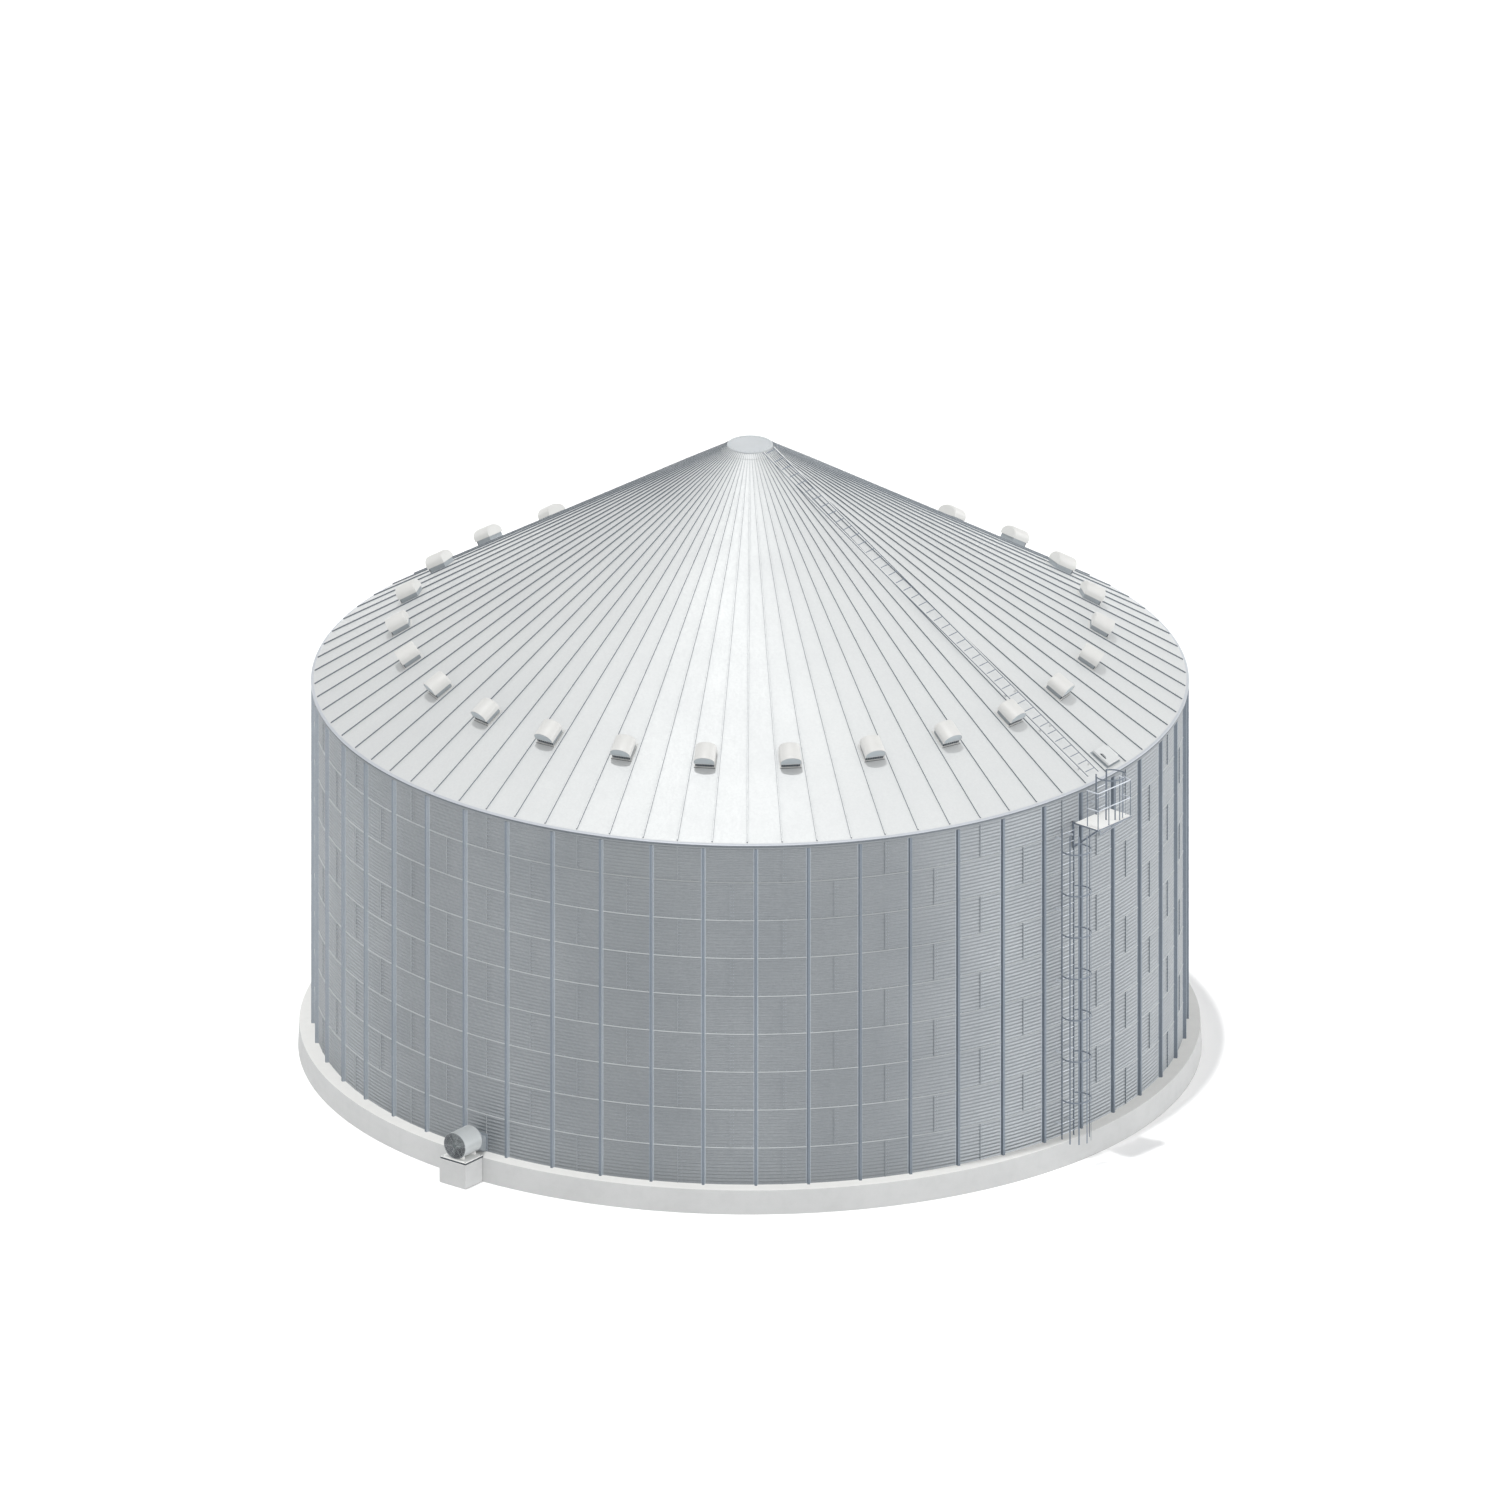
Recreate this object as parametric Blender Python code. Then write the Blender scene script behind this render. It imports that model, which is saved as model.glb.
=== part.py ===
"""Flat-bottom grain silo: corrugated steel bin with outside stiffeners on a round concrete slab.

Metres, +Z up. The origin is the centre of the slab's underside. A bearing of 0 degrees faces -Y
and bearings grow towards +X, so each piece is drawn facing -Y and turned about Z to its bearing.
"""

import math

import bmesh
import bpy
from mathutils import Matrix, Vector

# Driving dimensions

CONTACT_GAP = 0.0003
RUN_CLEARANCE = 0.006
SINK = 0.006
WELD_DISTANCE = 0.00005

SLAB_RADIUS = 12.354
SLAB_HEIGHT = 0.70
SLAB_SIDES = 78

SECTORS = 13
STIFFENERS = 52
ROOF_RIBS = 78
WALL_FACETS_PER_BAY = 3

RING_HEIGHT = 1.1176
RING_COUNT = 9
SHEET_RADIUS = 11.887
SHEET_ENVELOPE = 0.016
STIFFENER_WIDTH = 0.14
STIFFENER_DEPTH = 0.10
FIRST_STIFFENER = 0.78
PORT_CUT_OUTWARD = 0.2
PORT_CUT_INWARD = 0.3

EAVE_RADIUS = 12.0
EAVE_LIP = 0.10
EAVE_LIP_THICKNESS = 0.035
ROOF_RISE = 0.609
ROOF_THICKNESS = 0.03
ROOF_TOP_RADIUS = 0.68
RIB_WIDTH = 0.09
RIB_CREST = 0.036
RIB_HEIGHT = 0.052
RIB_FULL_RADIUS = 2.3
RIB_START_RADIUS = 0.80
RIB_END_RADIUS = 11.84
RIB_START_SCALE = 0.5

CAP_RADIUS = 0.615
CAP_THICKNESS = 0.035
PEAK_SKIRT_RADIUS = 0.785
PEAK_BORE_RADIUS = 0.52
PEAK_SKIRT_THICKNESS = 0.014
PEAK_COLLAR_DEPTH = 0.22
PEAK_SEAT_RADIUS = 0.70
CAP_SIDES = 52

VENT_RADIUS = 9.50
VENT_HOOD_WIDTH = 0.60
VENT_HOOD_LENGTH = 0.58
VENT_HOOD_SIDE = 0.11
VENT_HOOD_RISE = 0.19
VENT_HOOD_BASE = 0.15
VENT_RISER_WIDTH = 0.50
VENT_RISER_LENGTH = 0.44
VENT_RISER_SHIFT = 0.06
VENT_FLANGE_WIDTH = 0.66
VENT_FLANGE_LENGTH = 0.62
VENT_FLANGE_THICKNESS = 0.016
VENT_ARCH_STEPS = 8

HATCH_RADIUS = 11.53
HATCH_HOLE = 0.49
HATCH_CURB_OUTSIDE = 0.56
HATCH_CURB_INSIDE = 0.50
HATCH_CURB_HEIGHT = 0.10
HATCH_FLANGE = 0.66
HATCH_FLANGE_THICKNESS = 0.008
LID_SIZE = 0.60
LID_THICKNESS = 0.02
LID_LIP_DEPTH = 0.045
LID_LIP_THICKNESS = 0.008
HINGE_OFFSET = 0.31
HINGE_PIN_RADIUS = 0.007
HINGE_KNUCKLE_RADIUS = 0.014
HINGE_BORE_RADIUS = 0.0078
HINGE_KNUCKLE_LENGTH = 0.40
HINGE_SIDES = 12
HINGE_EAR_WIDTH = 0.03
HINGE_EAR_DROP = 0.04
HINGE_PIN_INSET = 0.01
HINGE_SIDE_CLEARANCE = 0.01
LEAF_INSET = 0.004
HANDLE_OFFSET = 0.10
HANDLE_HALF_LENGTH = 0.075
HANDLE_BAR = 0.016
HANDLE_RISE = 0.045
HANDLE_POST = 0.02
HANDLE_TOP = 0.015

LADDER_HALF_WIDTH = 0.23
LADDER_RUNG_PITCH = 0.305
LADDER_STILE = (0.012, 0.05)
LADDER_RUNG = 0.022
LADDER_FACE_RADIUS = 12.12
LADDER_SHIFT = -0.07
LADDER_CLIP = (0.008, 0.06)
LADDER_CLIP_INSET = 0.006
LADDER_CLIP_FIRST = 0.45
LADDER_CLIP_PITCH = 2.1
LADDER_CLIP_COUNT = 5
EAVE_CLIP_HEIGHT = 0.35
ROOF_LADDER_FOOT = 11.80
ROOF_LADDER_FEET = (0.35, 1.9, 3.3)
ROOF_LADDER_PAD = (0.04, 0.06)
ROOF_LADDER_PAD_INSET = 0.015
ROOF_LADDER_LIFT = 0.085
ROOF_LADDER_STILE = (0.045, 0.03)
ROOF_LADDER_END_GAP = 0.02
PEAK_SEAT_TAB = (0.04, 0.016)

CAGE_RADIUS = 0.41
CAGE_CENTRE_RADIUS = 12.45
CAGE_BAR_WIDTH = 0.04
CAGE_BAR_THICKNESS = 0.01
CAGE_BAR_SPREAD = 36.0
CAGE_STRIP = 0.008
CAGE_STRIP_INSET = 0.010
CAGE_HOOP_STEPS = 16
CAGE_END_ANGLE = 3.0
CAGE_TAB_TRIM = 0.002
CAGE_TOP_INSET = 0.01
CAGE_FOOT_GAP = 0.02
CAGE_HOOP_PITCH = 1.22
CAGE_LOWEST_HOOP = 1.25
CAGE_HOOP_COUNT = 7
UPPER_CAGE_HEIGHT = 1.19

DECK_BEARING = FIRST_STIFFENER + 7 * 360.0 / STIFFENERS
DECK_INNER = 12.067
DECK_OUTER = 12.904
DECK_LEFT = -0.396
DECK_RIGHT = 1.008
DECK_TOP = 9.866
DECK_THICKNESS = 0.045
RAIL_SIZE = 0.034
RAIL_HEIGHT = 1.07
RAIL_RETURN = 0.40
RAIL_EDGE = 0.008
RAIL_POST_TRIM = 0.003
BRACE_SIZE = 0.05
BRACE_DROP = 0.78
BRACE_TIP_INSET = 0.05
BRACE_LOW_CORNER = 2.0
BRACE_FAR_CORNER = 2.6
BRACKET_INSET = 0.11

FAN_BEARING = -38.4
FAN_AXIS_HEIGHT = 0.44
FAN_RADIUS = 0.376
FAN_SHELL = 0.008
FAN_FRONT = 12.99
FAN_BACK = 12.27
FAN_SIDES = 24
PLINTH_WIDTH = 0.915
PLINTH_OUTER = 13.095
SKID_HEIGHT = 0.035
SKID_WIDTH = 0.06
SKID_INSET = 0.08
SKID_END_GAP = 0.02
SADDLE_WIDTH = 0.48
SADDLE_THICKNESS = 0.03
SADDLE_HEIGHT = 0.10
SADDLE_INSET = 0.12
DRUM_CUT_HALF = 1.2
FAN_PLATE_THICKNESS = 0.018
FAN_PLATE_WIDTH = 0.87
FAN_PLATE_INNER = 12.28
FAN_PLATE_OUTER = 13.07
DUCT_WIDTH = 0.47
DUCT_HEIGHT = 0.46
DUCT_SHELL = 0.008
DUCT_INSIDE_REACH = 11.78
DUCT_CORNER = 0.985
DUCT_BEND_OUT = 0.10
DUCT_COLLAR = 0.055
DUCT_COLLAR_THICKNESS = 0.01
DUCT_HOLE_MARGIN = 0.008
IMPELLER_HUB = 0.12
IMPELLER_BLADES = 6
IMPELLER_FRONT = 12.90
IMPELLER_LENGTH = 0.14
BLADE_THICKNESS = 0.006
BLADE_STATIONS = ((0.114, 52, 0.12), (0.24, 38, 0.15), (0.352, 28, 0.15))
SHAFT_RADIUS = 0.02
SHAFT_LENGTH = 0.10
SHAFT_SIDES = 24
SHAFT_CLEARANCE = 0.0004
MOTOR_RADIUS = 0.125
MOTOR_LENGTH = 0.30
MOTOR_FRONT_GAP = 0.02
MOTOR_NOSE_RADIUS = 0.06
MOTOR_NOSE_LENGTH = 0.02
MOTOR_TAIL_RADIUS = 0.05
MOTOR_TAIL_LENGTH = 0.03
MOTOR_BORE_DEPTH = 0.12
MOTOR_PLUG_OVERLAP = 0.004
STRUT_THICKNESS = 0.012
STRUT_FRONT = 0.10
STRUT_BACK = 0.05
STRUT_ROOT = 0.02
GUARD_BAR = 0.008
GUARD_RINGS = (0.13, 0.21, 0.29)
GUARD_SPOKES = 6
GUARD_BOSS_RADIUS = 0.05
GUARD_SPOKE_START = 0.03
GUARD_SMALL_SIDES = 12

# Values that follow from them

BAY_ANGLE = 360.0 / STIFFENERS
RIB_ANGLE = 360.0 / ROOF_RIBS
SECTOR_ANGLE = 360.0 / SECTORS
SHEET_OUTER = SHEET_RADIUS + SHEET_ENVELOPE / 2
SHEET_INNER = SHEET_RADIUS - SHEET_ENVELOPE / 2
WALL_BASE = SLAB_HEIGHT + CONTACT_GAP
WALL_TOP = SLAB_HEIGHT + RING_COUNT * RING_HEIGHT
PORT_RING_TOP = SLAB_HEIGHT + RING_HEIGHT
WALL_FLAT = SHEET_OUTER * math.cos(math.radians(BAY_ANGLE / WALL_FACETS_PER_BAY / 2))
PAN_SHRINK = math.cos(math.radians(RIB_ANGLE / 2))
EAVE_TOP = WALL_TOP + CONTACT_GAP + ROOF_THICKNESS - (EAVE_RADIUS - WALL_FLAT / PAN_SHRINK) * ROOF_RISE
STIFFENER_TOP = EAVE_TOP - EAVE_LIP - RUN_CLEARANCE
PAN_SLOPE = math.atan(ROOF_RISE / PAN_SHRINK)
VENT_FIRST = FIRST_STIFFENER + BAY_ANGLE / 2 + RIB_ANGLE / 2
HATCH_BEARING = VENT_FIRST + 11 * RIB_ANGLE
LOWER_LADDER_BEARING = FIRST_STIFFENER + 6.5 * BAY_ANGLE
BAY_LADDER_BEARING = FIRST_STIFFENER + 7.5 * BAY_ANGLE
FAN_AXIS_Z = SLAB_HEIGHT + FAN_AXIS_HEIGHT


def roof_top(radius):
    """Height of the roof's ridge lines at a radius."""
    return EAVE_TOP + (EAVE_RADIUS - radius) * ROOF_RISE


def pan_top(radius):
    """Height of the middle of a roof pan, whose flat lies a little inside the ridge lines."""
    return roof_top(radius / PAN_SHRINK)


def polar(radius, degrees, height):
    """Point at a radius and bearing."""
    angle = math.radians(degrees)
    return Vector((radius * math.sin(angle), -radius * math.cos(angle), height))


# Mesh building

def clear_scene():
    for item in list(bpy.data.objects):
        bpy.data.objects.remove(item, do_unlink=True)


def mesh_of(name, points, faces):
    """Mesh from points and faces, with its faces turned outwards."""
    mesh = bpy.data.meshes.new(name)
    mesh.from_pydata([tuple(point) for point in points], [], faces)
    work = bmesh.new()
    work.from_mesh(mesh)
    bmesh.ops.recalc_face_normals(work, faces=work.faces)
    if work.calc_volume(signed=True) < 0:
        bmesh.ops.reverse_faces(work, faces=work.faces)
    work.to_mesh(mesh)
    work.free()
    return mesh


def lofted(name, rings):
    """Closed body through rings of equal point count, capped at both ends."""
    count = len(rings[0])
    points = [point for ring in rings for point in ring]
    faces = [list(range(count))[::-1], [len(points) - count + i for i in range(count)]]
    for level in range(len(rings) - 1):
        for i in range(count):
            j = (i + 1) % count
            low = level * count
            faces.append([low + i, low + j, low + count + j, low + count + i])
    return mesh_of(name, points, faces)


def looped(name, rings):
    """Closed body through rings that come back to the first one."""
    count = len(rings[0])
    points = [point for ring in rings for point in ring]
    faces = []
    for level in range(len(rings)):
        low = level * count
        high = ((level + 1) % len(rings)) * count
        for i in range(count):
            j = (i + 1) % count
            faces.append([low + i, low + j, high + j, high + i])
    return mesh_of(name, points, faces)


def box(name, low, high):
    """Box between two corners."""
    def ring(z):
        return [(low[0], low[1], z), (high[0], low[1], z), (high[0], high[1], z), (low[0], high[1], z)]
    return lofted(name, [ring(low[2]), ring(high[2])])


def jointed(name, low, high, levels):
    """Upright box with its sides divided at levels, so that joining bars to it leaves no slivers."""
    def ring(z):
        return [(low[0], low[1], z), (high[0], low[1], z), (high[0], high[1], z), (low[0], high[1], z)]
    return lofted(name, [ring(z) for z in (low[2], *levels, high[2])])


def extruded(name, outline, low, high, axis="Z"):
    """Outline of pairs pushed along an axis between two levels."""
    def point(pair, level):
        if axis == "X":
            return (level, pair[0], pair[1])
        if axis == "Y":
            return (pair[0], level, pair[1])
        return (pair[0], pair[1], level)
    return lofted(name, [[point(pair, low) for pair in outline], [point(pair, high) for pair in outline]])


def turned(name, profile, sides):
    """Profile of (radius, height) pairs turned about Z, closed where it does not meet the axis."""
    rings = []
    for i in range(sides):
        angle = 2 * math.pi * i / sides
        rings.append([(r * math.cos(angle), r * math.sin(angle), z) for r, z in profile])
    return looped(name, rings)


def cylinder(name, radius, low, high, sides, phase=0.0):
    """Upright cylinder about Z."""
    angles = [phase + 2 * math.pi * i / sides for i in range(sides)]
    outline = [(radius * math.cos(a), radius * math.sin(a)) for a in angles]
    return extruded(name, outline, low, high)


def swept(name, path, width, height, closed=False):
    """Rectangular bar along a level path, mitred at its corners; width is across, height is up."""
    rings = []
    count = len(path)
    for i, point in enumerate(path):
        before = path[(i - 1) % count] if closed or i else None
        after = path[(i + 1) % count] if closed or i < count - 1 else None
        into = (point - before).normalized() if before is not None else None
        out = (after - point).normalized() if after is not None else None
        along = into if out is None else out if into is None else (into + out).normalized()
        stretch = 1.0 if into is None or out is None else 1.0 / along.dot(out)
        side = Vector((along.y, -along.x, 0)) * (width / 2 * stretch)
        lift = Vector((0, 0, height / 2))
        rings.append([point - side - lift, point + side - lift, point + side + lift, point - side + lift])
    return looped(name, rings) if closed else lofted(name, rings)


def moved(mesh, matrix):
    """The mesh after a move."""
    mesh.transform(matrix)
    return mesh


def gathered(name, meshes):
    """Bodies that do not meet, put in one mesh."""
    work = bmesh.new()
    for mesh in meshes:
        work.from_mesh(mesh)
        bpy.data.meshes.remove(mesh)
    mesh = bpy.data.meshes.new(name)
    work.to_mesh(mesh)
    work.free()
    return mesh


def combined(name, base, tool, operation, merge):
    """Exact boolean of two meshes, as a new mesh; merge joins the flat faces that it split."""
    body = bpy.data.objects.new(name + "_body", base)
    other = bpy.data.objects.new(name + "_other", tool)
    bpy.context.collection.objects.link(body)
    bpy.context.collection.objects.link(other)
    cut = body.modifiers.new("combine", "BOOLEAN")
    cut.operation = operation
    cut.solver = "EXACT"
    cut.object = other
    bpy.context.view_layer.update()
    depsgraph = bpy.context.evaluated_depsgraph_get()
    mesh = bpy.data.meshes.new_from_object(body.evaluated_get(depsgraph))
    mesh.name = name
    for item in (body, other):
        data = item.data
        bpy.data.objects.remove(item, do_unlink=True)
        bpy.data.meshes.remove(data)
    return tidied(mesh, merge)


def tidied(mesh, merge):
    """Mesh with doubled points welded and slivers dissolved."""
    work = bmesh.new()
    work.from_mesh(mesh)
    bmesh.ops.remove_doubles(work, verts=work.verts, dist=WELD_DISTANCE)
    bmesh.ops.dissolve_degenerate(work, edges=work.edges, dist=WELD_DISTANCE)
    if merge:
        flat = math.radians(0.05)
        bmesh.ops.dissolve_limit(work, angle_limit=flat, verts=work.verts, edges=work.edges)
    bmesh.ops.triangulate(work, faces=work.faces, ngon_method="BEAUTY")
    work.to_mesh(mesh)
    work.free()
    return mesh


def fused(name, base, tool, merge=True):
    return combined(name, base, tool, "UNION", merge)


def cut_from(name, base, tool):
    return combined(name, base, tool, "DIFFERENCE", True)


def material(name, colour, roughness, metallic):
    """Material with one colour and finish."""
    made = bpy.data.materials.new(name)
    made.use_nodes = True
    shader = made.node_tree.nodes["Principled BSDF"]
    shader.inputs["Base Color"].default_value = (*colour, 1.0)
    shader.inputs["Roughness"].default_value = roughness
    shader.inputs["Metallic"].default_value = metallic
    made.diffuse_color = (*colour, 1.0)
    return made


def place(name, mesh, finish, bearing=0.0, smooth=None):
    """Named object turned to its bearing."""
    item = bpy.data.objects.new(name, mesh)
    bpy.context.collection.objects.link(item)
    item.rotation_euler = (0, 0, math.radians(bearing))
    if not mesh.materials:
        mesh.materials.append(finish)
    if smooth:
        mesh.shade_smooth()
        mesh.set_sharp_from_angle(angle=math.radians(smooth))
    return item


def on_roof(radius):
    """Frame on the middle of a pan facing -Y: X across, -Y down the slope, Z off the sheet."""
    return Matrix.Translation((0, -radius, pan_top(radius))) @ Matrix.Rotation(PAN_SLOPE, 4, "X")


# Slab and wall

def build_slab(finish):
    half = 180.0 / SLAB_SIDES
    angles = [FAN_BEARING + half + 2 * half * i for i in range(SLAB_SIDES)]
    outline = [polar(SLAB_RADIUS, a, 0).xy for a in angles]
    place("foundation_slab", extruded("foundation_slab", outline, 0, SLAB_HEIGHT), finish, 0, 30)


def wall_sector_mesh(foot, sheet_top, post_top):
    """Curved sheet of four bays with its four stiffeners, facing -Y, between two heights."""
    facets = WALL_FACETS_PER_BAY * STIFFENERS // SECTORS
    step = SECTOR_ANGLE / facets
    # The sector ends in the middle of a flat, a hair short of its neighbour.
    edge = SECTOR_ANGLE / 2 - math.degrees(CONTACT_GAP / 2 / SHEET_RADIUS)
    shrink = math.cos(math.radians(step / 2))
    stations = [(-edge, shrink)]
    stations += [(-SECTOR_ANGLE / 2 + step * (i + 0.5), 1.0) for i in range(facets)]
    stations += [(edge, shrink)]
    outline = [polar(SHEET_OUTER * scale, a, 0).xy for a, scale in stations]
    outline += [polar(SHEET_INNER * scale, a, 0).xy for a, scale in reversed(stations)]
    shell = extruded("wall", outline, foot, sheet_top)
    posts = []
    inner = SHEET_OUTER - SINK
    outer = SHEET_OUTER + STIFFENER_DEPTH
    half = STIFFENER_WIDTH / 2
    for i in range(STIFFENERS // SECTORS):
        turn = Matrix.Rotation(math.radians(-SECTOR_ANGLE / 2 + BAY_ANGLE * (i + 0.5)), 4, "Z")
        post = box("post", (-half, -outer, foot), (half, -inner, post_top))
        posts.append(moved(post, turn))
    return fused("wall_sector", shell, gathered("posts", posts))


def build_wall(finish):
    plain = wall_sector_mesh(WALL_BASE, WALL_TOP, STIFFENER_TOP)
    for i in range(SECTORS):
        bearing = FIRST_STIFFENER + BAY_ANGLE / 2 + SECTOR_ANGLE / 2 + SECTOR_ANGLE * i
        name = f"wall_sector_{i + 1:02d}"
        offset = (FAN_BEARING - bearing + 180.0) % 360.0 - 180.0
        if abs(offset) > SECTOR_ANGLE / 2:
            place(name, plain, finish, bearing, 30)
            continue
        # The lowest ring here holds the fan's port, and the rest of the sector stands on it.
        above = wall_sector_mesh(PORT_RING_TOP + CONTACT_GAP, WALL_TOP, STIFFENER_TOP)
        place(name, above, finish, bearing, 30)
        half = DUCT_WIDTH / 2 + DUCT_HOLE_MARGIN
        low = (-half, -SHEET_RADIUS - PORT_CUT_OUTWARD, SLAB_HEIGHT - PORT_CUT_OUTWARD)
        high = (half, -SHEET_RADIUS + PORT_CUT_INWARD, SLAB_HEIGHT + DUCT_HEIGHT + 2 * DUCT_HOLE_MARGIN)
        cutter = moved(box("port", low, high), Matrix.Rotation(math.radians(offset), 4, "Z"))
        ring = wall_sector_mesh(WALL_BASE, PORT_RING_TOP, PORT_RING_TOP)
        place("wall_port_ring", cut_from("wall_port_ring", ring, cutter), finish, bearing, 30)


# Roof

def roof_pan_mesh():
    """Folded cone sector with its turned-down eave, facing -Y."""
    trim = math.degrees(CONTACT_GAP / 2 / EAVE_RADIUS)
    ribs = ROOF_RIBS // SECTORS
    lip_inner = EAVE_RADIUS - EAVE_LIP_THICKNESS
    profile = [
        (ROOF_TOP_RADIUS, roof_top(ROOF_TOP_RADIUS)),
        (EAVE_RADIUS, EAVE_TOP),
        (EAVE_RADIUS, EAVE_TOP - EAVE_LIP),
        (lip_inner, EAVE_TOP - EAVE_LIP),
        (lip_inner, roof_top(lip_inner) - ROOF_THICKNESS),
        (ROOF_TOP_RADIUS, roof_top(ROOF_TOP_RADIUS) - ROOF_THICKNESS),
    ]
    rings = [[polar(r * PAN_SHRINK, -SECTOR_ANGLE / 2 + trim, z) for r, z in profile]]
    for i in range(ribs):
        bearing = -SECTOR_ANGLE / 2 + RIB_ANGLE * (i + 0.5)
        rings.append([polar(r, bearing, z) for r, z in profile])
    rings.append([polar(r * PAN_SHRINK, SECTOR_ANGLE / 2 - trim, z) for r, z in profile])
    return lofted("pan", rings)


def rib_mesh(bearing):
    """Raised rib along one fold of the roof, narrower near the peak."""
    rings = []
    stations = [(RIB_START_RADIUS, RIB_START_SCALE), (RIB_FULL_RADIUS, 1.0), (RIB_END_RADIUS, 1.0)]
    for radius, scale in stations:
        foot = scale * RIB_WIDTH / 2
        crest = scale * RIB_CREST / 2
        top = roof_top(radius)
        rings.append([
            (-foot, -radius, top - SINK),
            (foot, -radius, top - SINK),
            (crest, -radius, top + scale * RIB_HEIGHT),
            (-crest, -radius, top + scale * RIB_HEIGHT),
        ])
    return moved(lofted("rib", rings), Matrix.Rotation(math.radians(bearing), 4, "Z"))


def vent_mesh():
    """Ventilator with a flange, a riser and an arched hood that overhangs it, on the roof's frame."""
    flange_half = VENT_FLANGE_WIDTH / 2
    flange_low = (-flange_half, -VENT_FLANGE_LENGTH / 2, -SINK)
    flange_high = (flange_half, VENT_FLANGE_LENGTH / 2, VENT_FLANGE_THICKNESS)
    flange = box("flange", flange_low, flange_high)
    riser_half = VENT_RISER_WIDTH / 2
    riser_low = (-riser_half, VENT_RISER_SHIFT - VENT_RISER_LENGTH / 2, 0)
    riser_high = (riser_half, VENT_RISER_SHIFT + VENT_RISER_LENGTH / 2, VENT_HOOD_BASE + SINK)
    riser = box("riser", riser_low, riser_high)
    half = VENT_HOOD_WIDTH / 2
    outline = [(-half, VENT_HOOD_BASE), (half, VENT_HOOD_BASE)]
    for i in range(VENT_ARCH_STEPS + 1):
        angle = math.pi * i / VENT_ARCH_STEPS
        rise = VENT_HOOD_BASE + VENT_HOOD_SIDE + VENT_HOOD_RISE * math.sin(angle)
        outline.append((half * math.cos(angle), rise))
    hood = extruded("hood", outline, -VENT_HOOD_LENGTH / 2, VENT_HOOD_LENGTH / 2, "Y")
    stem = fused("stem", flange, riser)
    return fused("vent", stem, hood)


def roof_sector_mesh():
    ribs = ROOF_RIBS // SECTORS
    bearings = [-SECTOR_ANGLE / 2 + RIB_ANGLE * (i + 0.5) for i in range(ribs)]
    sheet = fused("sheet", roof_pan_mesh(), gathered("ribs", [rib_mesh(b) for b in bearings]))
    vents = []
    for shift in (-2 * RIB_ANGLE, RIB_ANGLE):
        turn = Matrix.Rotation(math.radians(shift), 4, "Z")
        vents.append(moved(vent_mesh(), turn @ on_roof(VENT_RADIUS)))
    return fused("roof_sector", sheet, gathered("vents", vents))


def build_roof(finish):
    plain = roof_sector_mesh()
    for i in range(SECTORS):
        bearing = HATCH_BEARING + SECTOR_ANGLE * (i - 2)
        name = f"roof_sector_{i + 1:02d}"
        if i != 2:
            place(name, plain, finish, bearing, 30)
            continue
        half = HATCH_HOLE / 2
        cutter = moved(box("manhole", (-half, -half, -half), (half, half, half)), on_roof(HATCH_RADIUS))
        place(name, cut_from("roof_manhole", plain.copy(), cutter), finish, bearing, 30)


def build_peak(ring_finish, cap_finish):
    """Collar that the sheets meet, with a sloping skirt over them, and the flat cap on it."""
    def over(radius):
        return roof_top(radius) + CONTACT_GAP
    skirt = PEAK_SKIRT_RADIUS
    throat = ROOF_TOP_RADIUS - RUN_CLEARANCE
    profile = [
        (PEAK_BORE_RADIUS, over(CAP_RADIUS) + PEAK_SKIRT_THICKNESS),
        (CAP_RADIUS, over(CAP_RADIUS) + PEAK_SKIRT_THICKNESS),
        (skirt, over(skirt) + PEAK_SKIRT_THICKNESS),
        (skirt, over(skirt)),
        (throat, over(throat)),
        (throat, over(throat) - PEAK_COLLAR_DEPTH),
        (PEAK_BORE_RADIUS, over(throat) - PEAK_COLLAR_DEPTH),
    ]
    profile.reverse()
    ring = turned("peak_ring", profile, ROOF_RIBS)
    place("peak_ring", ring, ring_finish, VENT_FIRST, 20)
    seat = over(CAP_RADIUS) + PEAK_SKIRT_THICKNESS + CONTACT_GAP
    cap = cylinder("peak_cap", CAP_RADIUS + 0.01, seat, seat + CAP_THICKNESS, CAP_SIDES)
    place("peak_cap", cap, cap_finish, 0, 30)


# Hatch

def square(half):
    return [(-half, -half), (half, -half), (half, half), (-half, half)]


def framed(name, outer_half, inner_half, low, high):
    """Square tube about Z."""
    rings = []
    for outer, inner in zip(square(outer_half), square(inner_half)):
        rings.append([(*inner, low), (*outer, low), (*outer, high), (*inner, high)])
    return looped(name, rings)


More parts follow.
